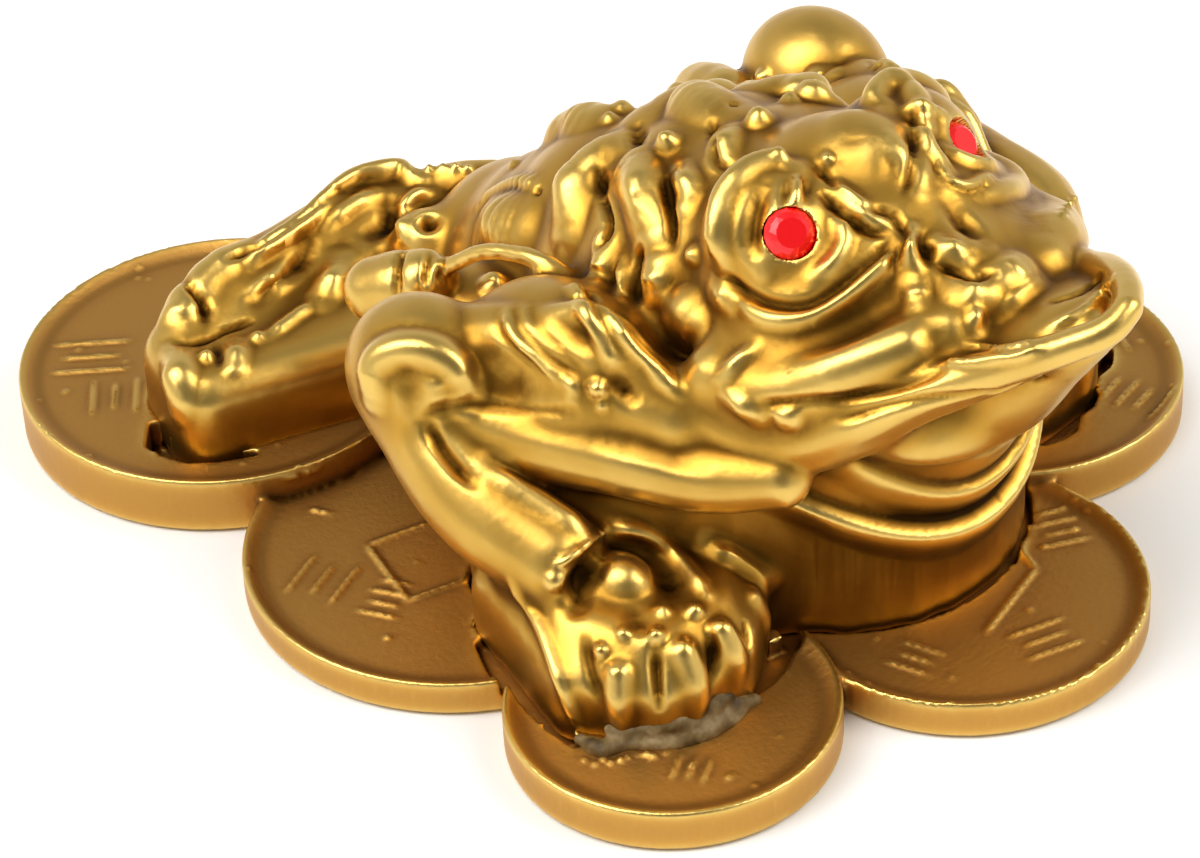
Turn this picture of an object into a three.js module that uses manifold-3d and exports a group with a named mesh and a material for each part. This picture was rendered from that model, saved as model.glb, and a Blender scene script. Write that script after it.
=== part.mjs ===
// Money toad: a three-legged toad of cast brass that crouches on a bed of overlapping coins.
// Millimetres, +Z up. The toad looks along -Y, and its own left side is +X.
// Its pieces are the cast toad, the bed of coins that it is dropped into, two cut glass
// stones for its eyes, and the bead of glue squeezed out before its right hand.

import * as THREE from 'three';
import { ConvexGeometry } from 'three/addons/geometries/ConvexGeometry.js';
import { mergeVertices } from 'three/addons/utils/BufferGeometryUtils.js';
import Module from 'manifold-3d';

const wasm = await Module();
wasm.setup();

// Driving sizes of the toad. Its pose and carving are laid out on a toad 52 long,
// from the lip to the heel of its hind foot, and grow and shrink with TOAD_LENGTH.
const TOAD_LENGTH = 52;
const LAYOUT_LENGTH = 52;
const GROW = TOAD_LENGTH / LAYOUT_LENGTH;

// Driving sizes of the bed of coins.
const BED_FLOOR = 1.0;
const BED_WEB_HEIGHT = 1.6;
const WEB_REACH = 0.12;
const RUMP_REST = [1, 12.4, 4.6];
const SOCKET_CLEARANCE = 0.35;
const CARVING_CLEARANCE = 0.3;
const RIM_HEIGHT = 0.6;
const RIM_WIDTH = 0.95;
const RIM_ROUNDING = 0.4;
const COIN_SEGMENTS = 28;
const HOLE_SIDE = 5.6;
const HOLE_EDGE_WIDTH = 0.55;
const RELIEF_HEIGHT = 0.25;
const STROKE_WIDTH = 0.45;
const STROKE_LENGTH = 2.6;
const STROKE_PITCH = 1.2;
const STROKES_A_GROUP = 2;
const STROKE_GROUP_REACH = 0.73;

// Each coin: its centre on the layout, its diameter and height, and how far its square
// hole is turned. They lie in this order, each over the ones before it.
const COINS = [
  { name: 'right flank', at: [-15.5, -3.3], diameter: 23.6, height: 2.2, turn: -25 },
  { name: 'left flank', at: [15.5, -3.3], diameter: 21.6, height: 2.2, turn: 25 },
  { name: 'front', at: [-0.6, -25.3], diameter: 19.7, height: 2.35, turn: 12 },
  { name: 'left hand', at: [14.7, -15.4], diameter: 19.3, height: 2.9, turn: 35 },
  { name: 'right hand', at: [-17.6, -20.8], diameter: 17.3, height: 2.65, turn: 20 },
  { name: 'hind foot', at: [-14.2, 17.2], diameter: 23, height: 3.55, turn: -52 },
];

// Driving sizes of the eye stones and their seats.
const STONE_DIAMETER = 2.7;
const STONE_CROWN = 0.6;
const STONE_GIRDLE = 0.15;
const STONE_PAVILION = 0.75;
const STONE_TABLE = 0.55;
const STONE_FACETS = 10;
const STONE_CLEARANCE = 0.3;
const STONE_CUP_WALL = 0.55;

// Driving sizes of the bead of glue, and how far before each front disc of the hand it lies.
const BEAD_THICKNESS = 1.5;
const BEAD_CLEARANCE = 0.3;
const BEAD_STEPS = [[-1, -2], [-0.8, -2.4], [0.4, -2.2], [0.4, -2.4]];

const RIGHT = -1;
const LEFT = 1;
const TALL = 40;

// How far a limb's blunt end reaches past its last ring, in radii.
const POLE_REACH = 0.6;

// The casting isn't quite even: how far the left elbow and hand lie behind the right ones,
// and how far the left hand is drawn in.
const LEFT_ELBOW_BACK = 3.4;
const LEFT_HAND_BACK = 3;
const LEFT_HAND_IN = 2.5;

// Rolls of skin round the chest, from the lowest up.
const ROLLS = 4;
const ROLLS_FROM = 5.6;
const ROLL_HEIGHT = 2.5;
const ROLL_DEPTH = 0.75;
const ROLL_LEAN = 0.25;
const CHEST_SWELL = 0.2;
const CHEST_SEGMENTS = 20;

const brass = new THREE.MeshStandardMaterial({ color: 0xb8913f, roughness: 0.34, metalness: 1 });
const coinBrass = new THREE.MeshStandardMaterial({ color: 0x9c7434, roughness: 0.45, metalness: 1 });
const redGlass = new THREE.MeshStandardMaterial({ color: 0xd81420, roughness: 0.08, metalness: 0 });
const glue = new THREE.MeshStandardMaterial({ color: 0x857a64, roughness: 0.7, metalness: 0 });

// A closed surface as a solid that can be joined and cut.
function toSolid(geometry) {
  geometry.deleteAttribute('normal');
  geometry.deleteAttribute('uv');
  const merged = mergeVertices(geometry, 1e-4);
  return new wasm.Manifold(new wasm.Mesh({
    numProp: 3,
    vertProperties: new Float32Array(merged.attributes.position.array),
    triVerts: new Uint32Array(merged.index.array),
  }));
}

// The solid back as a surface for a mesh.
function toGeometry(solid) {
  const { vertProperties, triVerts } = solid.getMesh();
  const geometry = new THREE.BufferGeometry();
  geometry.setAttribute('position', new THREE.BufferAttribute(vertProperties, 3));
  geometry.setIndex(new THREE.BufferAttribute(triVerts, 1));
  geometry.computeVertexNormals();
  return geometry;
}

const joined = (solids) => solids.reduce((whole, piece) => whole.add(piece));
const without = (solid, cuts) => cuts.reduce((whole, cut) => whole.subtract(cut), solid);

// A point of the layout at the toad's real length.
const spot = (x, y, z = 0) => new THREE.Vector3(x, y, z).multiplyScalar(GROW);

// A rounded mass: an ellipsoid at a spot, its radii along its own axes, turned in degrees.
function ball(at, radii, turn = [0, 0, 0], detail = 2) {
  const geometry = new THREE.IcosahedronGeometry(1, detail);
  const [rx, ry, rz] = typeof radii === 'number' ? [radii, radii, radii] : radii;
  geometry.scale(rx * GROW, ry * GROW, rz * GROW);
  const angles = turn.map(THREE.MathUtils.degToRad);
  const centre = spot(...at);
  const place = new THREE.Matrix4().makeRotationFromEuler(new THREE.Euler(...angles, 'XYZ'));
  geometry.applyMatrix4(place.setPosition(centre));
  return toSolid(geometry);
}

// A limb, fold or ridge: a tube with blunt ends through the spots, with a radius at each.
// A radius given as a pair is the half-width and the half-height of the section.
function limb(spots, radii, sides = 6, steps = 1) {
  const curve = new THREE.CatmullRomCurve3(spots.map((at) => spot(...at)));
  const spans = spots.length - 1;
  const rings = spans * steps + 1;
  const halves = radii.map((r) => (typeof r === 'number' ? [r, r] : r));
  const halfAt = (t, axis) => {
    const span = Math.min(Math.floor(t * spans), spans - 1);
    return GROW * THREE.MathUtils.lerp(halves[span][axis], halves[span + 1][axis], t * spans - span);
  };
  const pole = (t, way) => {
    const reach = way * Math.min(halfAt(t, 0), halfAt(t, 1));
    return curve.getPoint(t).addScaledVector(curve.getTangent(t), reach * POLE_REACH);
  };
  const points = [pole(0, -1)];
  for (let ring = 0; ring < rings; ring += 1) {
    const t = ring / (rings - 1);
    const centre = curve.getPoint(t);
    const tangent = curve.getTangent(t);
    const across = new THREE.Vector3(0, 0, 1).cross(tangent).normalize();
    const up = tangent.clone().cross(across);
    for (let side = 0; side < sides; side += 1) {
      const angle = (2 * Math.PI * side) / sides;
      points.push(centre.clone()
        .addScaledVector(across, Math.cos(angle) * halfAt(t, 0))
        .addScaledVector(up, Math.sin(angle) * halfAt(t, 1)));
    }
  }
  points.push(pole(1, 1));

  const faces = [];
  const last = points.length - 1;
  for (let side = 0; side < sides; side += 1) {
    const next = (side + 1) % sides;
    faces.push(0, 1 + next, 1 + side);
    for (let ring = 0; ring < rings - 1; ring += 1) {
      const low = 1 + ring * sides;
      const high = low + sides;
      faces.push(low + side, low + next, high + next, low + side, high + next, high + side);
    }
    faces.push(last, last - sides + side, last - sides + next);
  }
  const geometry = new THREE.BufferGeometry().setFromPoints(points);
  geometry.setIndex(faces);
  return toSolid(geometry);
}

// A straight-sided block: the hull of upright discs [x, y, radius] between two heights.
// grow widens every disc, so that a socket is cut from the same discs as what it takes.
function block(discs, bottom, top, grow = 0, sides = 10) {
  const points = [];
  for (const [x, y, radius] of discs) {
    const centre = spot(x, y);
    const reach = radius * GROW + grow;
    for (let side = 0; side < sides; side += 1) {
      const angle = (2 * Math.PI * side) / sides;
      const px = centre.x + reach * Math.cos(angle);
      const py = centre.y + reach * Math.sin(angle);
      points.push(new THREE.Vector3(px, py, bottom), new THREE.Vector3(px, py, top));
    }
  }
  return toSolid(new ConvexGeometry(points));
}

// One side of a pair: x counts outward from the middle of the toad.
const onSide = (side, list) => list.map(([x, ...rest]) => [side * x, ...rest]);

// The hands: the left one is drawn in towards the belly, and lies further back.
const handSpots = (side, list) => onSide(side, list).map(([x, y, ...rest]) => (
  side === LEFT ? [x - LEFT_HAND_IN, y + LEFT_HAND_BACK, ...rest] : [x, y, ...rest]));

// What stands on the coins: the upright blocks under the belly, the hands, the arms and the
// hind foot, as discs with the height that each block reaches.
const BELLY = { discs: [[0, -16, 10.2], [0, -8, 10.2], [0, 4, 7.2], [-1.4, 12, 3.6]], height: 9 };
const HIND_FOOT = {
  discs: [[-19.3, 12.6, 1.7], [-17.6, 16.2, 2.2], [-11.5, 9.6, 1.8], [-3.4, 14.8, 2.4]],
  height: 6.6,
};
const HAND = {
  discs: [[20.7, -17.6, 1.7], [18.6, -21, 1.9], [15, -21.4, 1.9], [12.2, -19.6, 1.9], [18.3, -9.5, 1.6],
    [12.5, -10, 2]],
  height: 5.6,
};
const ARM_WALL = { discs: [[15.5, -7, 2.2], [12, -15, 2], [8, -19.4, 2], [7, -4, 2]], height: 12.5 };
const standing = () => [
  BELLY,
  HIND_FOOT,
  ...[RIGHT, LEFT].map((side) => ({ discs: onSide(side, ARM_WALL.discs), height: ARM_WALL.height })),
  ...[RIGHT, LEFT].map((side) => ({ discs: handSpots(side, HAND.discs), height: HAND.height })),
];

// Trunk: the humped back that falls away to the rump, and the drum of the chest with its
// rolls of loose skin under the jaw.
function trunk() {
  const back = limb(
    [[0, -19, 13], [0, -12, 13.2], [0, -5, 11], [0, 2, 8.5], [0, 8, 6.5], [0, 12, 5.5]],
    [[9.5, 10.5], [10.4, 11.3], [9.6, 10.2], [7.8, 8.5], [5.8, 6.3], [3.6, 4]], 14);
  const [x, y, radius] = BELLY.discs[0];
  const smooth = radius + CHEST_SWELL;
  const chest = [[0, 0], [smooth, 0], [smooth, ROLLS_FROM]];
  for (let roll = 0; roll < ROLLS; roll += 1) {
    const foot = ROLLS_FROM + roll * ROLL_HEIGHT;
    const lean = radius + roll * ROLL_LEAN;
    chest.push([lean + ROLL_DEPTH, foot + ROLL_HEIGHT * 0.5], [lean + ROLL_LEAN, foot + ROLL_HEIGHT]);
  }
  const top = ROLLS_FROM + ROLLS * ROLL_HEIGHT;
  chest.push([radius * 0.6, top + 1], [0, top + 1]);
  const geometry = lathe(chest, CHEST_SEGMENTS);
  geometry.rotateX(Math.PI / 2);
  geometry.scale(GROW, GROW, GROW);
  geometry.translate(...spot(x, y).toArray());
  return [back, toSolid(geometry)];
}

// Haunch: the low swell of each side behind the elbow, that the scroll lies on.
const haunch = (side) => [ball([side * 9.5, 1, 8.5], [4.4, 7, 5.6], [0, 0, 0], 1)];

// Flank of the back: the long upright lobes of hide behind the face.
function flankLobes(side) {
  const lobes = [
    [[7, -12.7, 24], [8.6, -14.2, 22.4], [10.4, -14.4, 20]],
    [[5.5, -8, 22], [7.2, -9.6, 20.8], [9.8, -11.2, 18.2]],
    [[5.4, -4, 19.8], [7.4, -6, 19], [9.4, -7.4, 17]],
  ];
  return lobes.map((path) => limb(onSide(side, path), [1.2, 1.5, 1.2], 5));
}

// Warts on the back, from the head to the rump: spot and radius.
const WARTS = [
  [3, -2.4, 19.6, 1.2], [-0.6, -2.6, 20, 0.9], [-2.4, -6, 21.4, 0.9], [-2.6, -12.8, 24.3, 1],
  [3, -8.1, 22.8, 0.9], [2.4, -12.2, 24.3, 0.9], [3.6, 4, 15.4, 1.2], [-2, 5.8, 14.2, 0.9],
  [-4.8, -4.4, 19.6, 0.9], [0.8, 6.8, 13.8, 1.1],
];

// Arm: the raised elbow, the shoulder, the upper arm that runs forward to the chest and the
// forearm that drops to the hand on its coin. The left arm lies further back and further out.
function arm(side) {
  const left = side === LEFT;
  const back = left ? LEFT_ELBOW_BACK : 0;
  const elbow = [17.4, -3.4 + back, 12.6];
  const wrist = [[18.8, -8.6, 9.6], [18.3, -13.4, 8]];
  const upper = left
    ? [[16.4, -1, 13.8], [16.4, -8.5, 14.6], [15.2, -13.4, 15.3], [14.2, -17.6, 14.9], [12.8, -20.2, 14.4]]
    : [[16.8, -4.8, 12.8], [15.6, -9.6, 12.6], [14.4, -13.8, 12.8], [12.2, -18.6, 12.5], [10.4, -22.2, 13.4]];
  return [
    ball([side * (left ? 16.4 : 17), -3.1 + back, 13.9], [3.9, 4.6, 4.3]),
    ball([side * 12.4, -7.6, 14.6], [4.4, 6.4, 5.6], [0, 0, 0], 1),
    limb(onSide(side, upper), [3.2, 2.5, 2.2, 1.9, 1.5], 8),
    limb([...onSide(side, [elbow]), ...handSpots(side, wrist)], [3.4, 2.9, 2.6], 8),
  ];
}

// Hand: the palm's high bump and four blunt toes that bend down to the coin.
function hand(side) {
  const toes = [
    [[19.4, -17, 6.4], [20.6, -20, 5.6], [20.2, -21, 2.6]],
    [[17.6, -19.2, 6.8], [18.6, -22.4, 5.6], [18.2, -22.8, 2.6]],
    [[15, -19.6, 6.8], [15, -22.4, 5.6], [14.8, -22.6, 2.6]],
    [[12.8, -19.4, 6.6], [12, -21.6, 5.4], [11.8, -21.6, 2.6]],
  ];
  return [
    ...handSpots(side, [[16, -16.6, 5]]).map((at) => ball(at, [4.8, 4.2, 3], [0, 0, 0], 1)),
    ...handSpots(side, [[16.6, -16.8, 6.8]]).map((at) => ball(at, 2, [0, 0, 0], 1)),
    ...toes.map((path) => limb(handSpots(side, path), [1.25, 1.45, 1.3], 5)),
  ];
}

// Head: skull, forehead dome, muzzle and nose.
function head() {
  return [
    ball([0, -18, 18.4], [9.6, 8.6, 7], [0, 0, 0], 1),
    ball([0, -19, 24.2], [3.3, 3.6, 3.4]),
    ball([0, -21, 18.4], [8.6, 7.4, 4.8], [0, 0, 0], 1),
    ball([0, -24.4, 21], [4.8, 4.6, 2.8], [18, 0, 0], 1),
    ball([0, -27.6, 22.2], [1.9, 1.3, 1.3], [0, 0, 0], 1),
  ];
}

// One side of the face: the bulging eye with its brow and lower lids, the nostril, the
// cheek and the upper lip.
function face(side) {
  const brow = [[9.3, -16.6, 21.6], [8.8, -16, 23.8], [7.4, -15.8, 25.4], [5.6, -16.8, 26.4],
    [3.8, -18.2, 26.4], [2.5, -20.8, 24.2]];
  const lid = [[9.5, -17.5, 21], [9.4, -19.8, 20.6], [8.4, -22.6, 22], [6.4, -24, 23.4], [4.6, -24.6, 24.2]];
  const upperLip = [[11.2, -18.6, 17.2], [10.4, -21.8, 17.6], [9, -24.4, 19.2], [7, -26.4, 20.8],
    [4, -28, 21.6]];
  return [
    ball([side * 5.7, -17.5, 21.8], [3.8, 4.4, 3.8], [0, side * 25, 0]),
    limb(onSide(side, brow), [0.8, 0.85, 0.9, 0.9, 0.85, 0.7], 5),
    limb(onSide(side, lid), [0.8, 0.9, 1, 0.9, 0.8], 5),
    ball([side * 1.9, -24.4, 23.4], [1.3, 1.4, 1.2], [0, 0, 0], 1),
    ball([side * 10.6, -15.4, 19.2], [2, 2.4, 2.4], [0, 0, 0], 1),
    limb(onSide(side, upperLip), [1, 1.2, 1.3, 1.2, 1]),
  ];
}

// Lower lip: a thick band that starts on the elbow, dips round the corner of the mouth and
// runs forward to the jutting, spoon-shaped tip, with the floor of the mouth and the tongue
// within it. The tip is cast a little askew, its left edge the higher.
function lip() {
  const cheek = [[14.6, -5.2, 19.2], [14, -8.4, 19.8], [13, -11.8, 19.8], [12.2, -15, 16.8], [11, -19.2, 15],
    [9.8, -22.2, 15.2], [8.4, -25, 17]];
  const cheekRadii = [0.9, 1, 1.2, 1.4, 1.5, 1.5, 1.4];
  const tip = [0, -35, 23.8];
  const spoon = {
    [RIGHT]: [[-6.4, -27.8, 19.2], [-4.2, -31.4, 21.1], [-1.8, -34.4, 22.7], tip],
    [LEFT]: [[6, -27, 18.7], [4, -30.6, 21], [1.8, -33.8, 22.9], tip],
  };
  const bands = [RIGHT, LEFT].map((side) => (
    limb([...onSide(side, cheek), ...spoon[side]], [...cheekRadii, 1.2, 1, 0.95, 0.9])));
  const floor = limb([[0, -22, 13.4], [0, -27, 16.2], [0, -31, 19.4], [0.2, -33.8, 22.2]],
    [[9.6, 3], [7, 2.4], [4, 1.5], [2, 0.9]], 10);
  const tongue = limb([[0, -25, 19], [0.2, -29.5, 21], [0.4, -32.4, 23]],
    [[2.6, 1.2], [2.2, 0.9], [1.3, 0.6]]);
  return [...bands, floor, tongue];
}

// Ringed scroll that lies along each flank behind the elbow: a round rear end, three beads
// and a smooth stem that runs into the flank.
function scroll(side) {
  const path = [[12.8, 6.4, 12.5], [12.4, 5.2, 13], [12.1, 4.4, 13.4], [11.8, 3.6, 13.8], [11.6, 2.8, 14.1],
    [10.8, -0.1, 15.6], [10, -4.6, 17.2]];
  return [limb(onSide(side, path), [1.4, 1.65, 1.3, 1.6, 1.3, 1.3, 1.1])];
}

// Hind leg: hip, heel and the long foot that lies to the right, with three ridged toes.
function hindLeg() {
  const toes = [
    [[-2, 17.2, 9], [-9.6, 17.4, 8.4], [-14, 17.6, 8.4], [-18, 16.8, 7.6]],
    [[-3.4, 15.6, 8.6], [-8, 15.8, 8], [-12.4, 15.4, 7.8], [-17.6, 15.2, 6.8]],
    [[-6, 13.6, 7.6], [-10, 13, 7], [-13.8, 12.6, 6.6], [-18.6, 13, 5.8]],
  ];
  return [
    ball([-1.2, 14.8, 7.4], [3.2, 3.4, 3]),
    ball([-4, 10.6, 9], [2, 2.1, 2.2], [0, 0, 0], 1),
    ...toes.map((path) => limb(path, [[1.2, 2.1], [1.05, 1.9], [1.3, 1.9], [1.6, 1.7]], 5)),
  ];
}

// The eye stones' seats: where each girdle lies and which way the stone looks. The left eye
// is set a little lower than the right.
function stoneSeat(side) {
  const at = side === LEFT ? spot(5.9, -19, 23.4) : spot(-6.2, -18.7, 24.2);
  const out = new THREE.Vector3(side * 0.45, -0.65, 0.61).normalize();
  return { at, out };
}

// A turned form whose own axis points along the stone's.
function onSeat(geometry, { at, out }) {
  const turn = new THREE.Quaternion().setFromUnitVectors(new THREE.Vector3(0, 1, 0), out);
  geometry.applyQuaternion(turn);
  geometry.translate(at.x, at.y, at.z);
  return geometry;
}

function lathe(profile, segments) {
  return new THREE.LatheGeometry(profile.map(([r, h]) => new THREE.Vector2(r, h)), segments);
}

function stone(seat) {
  const radius = STONE_DIAMETER / 2;
  const profile = [[0, -STONE_PAVILION], [radius, 0], [radius, STONE_GIRDLE],
    [radius * STONE_TABLE, STONE_GIRDLE + STONE_CROWN], [0, STONE_GIRDLE + STONE_CROWN]];
  return toSolid(onSeat(lathe(profile, STONE_FACETS), seat));
}

function stoneSocket(seat) {
  const radius = STONE_DIAMETER / 2 + STONE_CLEARANCE;
  const depth = STONE_PAVILION + STONE_CLEARANCE;
  const profile = [[0, -depth], [radius * STONE_TABLE, -depth], [radius, 0], [radius, TALL], [0, TALL]];
  return toSolid(onSeat(lathe(profile, STONE_FACETS), seat));
}

// A cup round the stone, so that its socket is cut in metal all round.
function stoneCup(seat) {
  const radius = STONE_DIAMETER / 2 + STONE_CLEARANCE + STONE_CUP_WALL;
  const depth = 2 * radius;
  const profile = [[0, -depth], [radius, -depth], [radius, 0], [0, 0]];
  return toSolid(onSeat(lathe(profile, STONE_FACETS), seat));
}

// The carving stays above the highest coin, so that only the upright blocks enter the bed.
function makeToad(seats) {
  const forms = [
    ...trunk(),
    ...head(),
    ...lip(),
    ...hindLeg(),
    ...WARTS.map(([x, y, z, radius]) => ball([x, y, z], radius, [0, 0, 0], 0)),
    ...seats.map(stoneCup),
  ];
  for (const side of [RIGHT, LEFT]) {
    forms.push(...haunch(side), ...flankLobes(side), ...scroll(side));
    forms.push(...arm(side), ...hand(side), ...face(side));
  }
  const highest = Math.max(...COINS.map(({ height }) => height));
  const coins = block([[0, 0, TOAD_LENGTH]], -TALL, highest + CARVING_CLEARANCE);
  const blocks = standing().map(({ discs, height }) => block(discs, BED_FLOOR, height * GROW));
  return without(joined([without(joined(forms), [coins]), ...blocks]), seats.map(stoneSocket));
}

// A coin: a round-edged disc with a raised rim round its sunk field.
function coin({ at, diameter, height }) {
  const radius = diameter / 2;
  const inner = radius - RIM_WIDTH;
  const field = height - RIM_HEIGHT;
  const profile = [[0, 0], [radius, 0], [radius, height - RIM_ROUNDING], [radius - RIM_ROUNDING, height],
    [inner + RIM_ROUNDING / 2, height], [inner, field], [0, field]];
  const geometry = lathe(profile, COIN_SEGMENTS);
  geometry.rotateX(Math.PI / 2);
  const centre = spot(...at);
  geometry.translate(centre.x, centre.y, 0);
  return toSolid(geometry);
}

// What a coin lying on others keeps clear above its field.
function aboveField({ at, diameter, height }) {
  const inner = diameter / 2 - RIM_WIDTH;
  const geometry = lathe([[0, 0], [inner, 0], [inner, TALL], [0, TALL]], COIN_SEGMENTS);
  geometry.rotateX(Math.PI / 2);
  const centre = spot(...at);
  geometry.translate(centre.x, centre.y, height - RIM_HEIGHT);
  return toSolid(geometry);
}

// Relief on a coin's field: the raised edge of its square hole, and beyond each side of it
// a group of plain strokes. grow widens them for what has to keep clear of them.
function relief({ at, diameter, height, turn }, grow = 0) {
  const field = height - RIM_HEIGHT;
  const centre = spot(...at);
  const bars = [];
  const bar = (length, width, x, y, angle) => {
    const geometry = new THREE.BoxGeometry(length + 2 * grow, width + 2 * grow, 2 * (RELIEF_HEIGHT + grow));
    geometry.translate(x, y, field);
    geometry.rotateZ(angle + THREE.MathUtils.degToRad(turn));
    geometry.translate(centre.x, centre.y, 0);
    bars.push(toSolid(geometry));
  };
  for (let quarter = 0; quarter < 4; quarter += 1) {
    const angle = (quarter * Math.PI) / 2;
    bar(HOLE_SIDE, HOLE_EDGE_WIDTH, 0, (HOLE_SIDE - HOLE_EDGE_WIDTH) / 2, angle);
    const reach = (diameter / 2) * STROKE_GROUP_REACH;
    for (let stroke = 0; stroke < STROKES_A_GROUP; stroke += 1) {
      const shift = (stroke - (STROKES_A_GROUP - 1) / 2) * STROKE_PITCH;
      bar(STROKE_LENGTH, STROKE_WIDTH, 0, reach + shift, angle);
    }
  }
  return bars;
}

// The coins are joined by a low web under the toad, that also carries its rump.
function makeBed() {
  const web = COINS.map(({ at, diameter }) => [...at, diameter * WEB_REACH]);
  let bed = block([...web, RUMP_REST], 0, BED_WEB_HEIGHT);
  for (const each of COINS) {
    bed = joined([bed.subtract(aboveField(each)), coin(each), ...relief(each)]);
  }
  const sockets = standing().map(({ discs }) => block(discs, BED_FLOOR, TALL, SOCKET_CLEARANCE));
  return without(bed, sockets);
}

// Glue squeezed out along the front of the right hand, lying on its coin.
function makeBead() {
  const under = COINS.find(({ name }) => name === 'right hand');
  const field = under.height - RIM_HEIGHT;
  const handDiscs = onSide(RIGHT, HAND.discs);
  const path = BEAD_STEPS.map(([across, along], disc) => {
    const [x, y] = handDiscs[disc];
    return [x + across, y + along];
  });
  const half = BEAD_THICKNESS / 2 / GROW;
  const bead = limb(path.map(([x, y]) => [x, y, field / GROW]), path.map(() => half), 8, 2);
  const coinBody = block([[0, 0, TOAD_LENGTH]], -TALL, field);
  const handWall = block(handDiscs, -TALL, TALL, BEAD_CLEARANCE);
  return without(bead, [coinBody, handWall, ...relief(under, BEAD_CLEARANCE)]);
}

function piece(name, solid, material) {
  const mesh = new THREE.Mesh(toGeometry(solid), material);
  mesh.name = name;
  return mesh;
}

// The whole work, with the middle of its box over the origin and the coins on the ground.
const seats = [RIGHT, LEFT].map(stoneSeat);
const figure = new THREE.Group();
figure.add(
  piece('toad', makeToad(seats), brass),
  piece('coin_base', makeBed(), coinBrass),
  piece('eye_stone_right', stone(seats[0]), redGlass),
  piece('eye_stone_left', stone(seats[1]), redGlass),
  piece('adhesive_bead', makeBead(), glue),
);
const box = new THREE.Box3().setFromObject(figure, true);
const middle = box.getCenter(new THREE.Vector3());
figure.position.set(-middle.x, -middle.y, 0);

const moneyToad = new THREE.Group();
moneyToad.add(figure);

export default moneyToad;
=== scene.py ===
# Money toad: the finish of a small cast brass toad on a bed of coins.
# Places are in millimetres on the toad's own layout: it looks along -Y, its right side is -X.

import math
import random

import bmesh
import bpy
import numpy as np
from mathutils import Matrix, Vector
from mathutils.bvhtree import BVHTree


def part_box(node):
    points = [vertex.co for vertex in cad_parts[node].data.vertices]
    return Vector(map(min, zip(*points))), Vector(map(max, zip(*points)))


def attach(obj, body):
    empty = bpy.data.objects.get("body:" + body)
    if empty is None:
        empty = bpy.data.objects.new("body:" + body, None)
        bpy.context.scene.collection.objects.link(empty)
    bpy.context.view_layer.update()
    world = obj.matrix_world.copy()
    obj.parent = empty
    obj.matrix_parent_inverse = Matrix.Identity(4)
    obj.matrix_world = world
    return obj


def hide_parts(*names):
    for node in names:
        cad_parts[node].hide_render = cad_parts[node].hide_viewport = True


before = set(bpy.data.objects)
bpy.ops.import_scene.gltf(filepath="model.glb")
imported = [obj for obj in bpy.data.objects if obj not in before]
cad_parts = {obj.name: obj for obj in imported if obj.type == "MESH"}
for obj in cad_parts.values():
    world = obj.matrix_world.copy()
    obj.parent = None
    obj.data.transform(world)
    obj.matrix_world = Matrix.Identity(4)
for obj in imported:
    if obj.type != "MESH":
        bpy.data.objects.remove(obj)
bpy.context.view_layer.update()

MM = 0.001

# Where the layout's origin lies: the right flank coin and the hind foot coin carry the
# outermost edges of the bed.
RIGHT_FLANK_EDGE = -27.3
HIND_FOOT_EDGE = 28.7
bed_low, bed_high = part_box("coin_base")
ORIGIN = Vector((bed_low[0] / MM - RIGHT_FLANK_EDGE, bed_high[1] / MM - HIND_FOOT_EDGE, 0))

RIGHT = -1
LEFT = 1

# The photograph's camera on the layout, from the round coins: a long lens seen from above.
IMAGE_SIZE = (1200, 858)
EYE = Vector((-135.542, -140.783, 149.248))
RIGHTWARD = Vector((0.70322, -0.70984, -0.04011)).normalized()
FORWARD = Vector((0.54567, 0.57502, -0.60959)).normalized()
UPWARD = RIGHTWARD.cross(FORWARD)
FOCAL_PIXELS = 4407
SENSOR_WIDTH = 36


def spot(x, y, z):
    """A place on the layout, in the model's metres."""
    return (Vector((x, y, z)) + ORIGIN) * MM


def add_camera():
    data = bpy.data.cameras.new("camera")
    data.sensor_width = SENSOR_WIDTH
    data.lens = SENSOR_WIDTH * FOCAL_PIXELS / IMAGE_SIZE[0]
    data.clip_start = 0.01
    camera = bpy.data.objects.new("camera", data)
    bpy.context.collection.objects.link(camera)
    turn = Matrix((RIGHTWARD, UPWARD, -FORWARD)).transposed()
    camera.matrix_world = Matrix.LocRotScale(spot(*EYE), turn, None)
    bpy.context.scene.camera = camera


def deselect():
    bpy.ops.object.select_all(action="DESELECT")


def make_active(piece):
    deselect()
    piece.select_set(True)
    bpy.context.view_layer.objects.active = piece


def apply_modifier(piece, kind, **settings):
    modifier = piece.modifiers.new(kind.lower(), kind)
    for name, value in settings.items():
        setattr(modifier, name, value)
    make_active(piece)
    bpy.ops.object.modifier_apply(modifier=modifier.name)


# Clay: the rounded forms that the pattern is built up from.

def ball(at, radii, turn=(0, 0, 0)):
    """A rounded mass: its radii lie along its own axes, turned in degrees."""
    radii = radii if isinstance(radii, tuple) else (radii, radii, radii)
    deselect()
    bpy.ops.mesh.primitive_ico_sphere_add(
        subdivisions=4, radius=MM, location=spot(*at), scale=radii,
        rotation=[math.radians(angle) for angle in turn])
    return [bpy.context.object]


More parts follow.
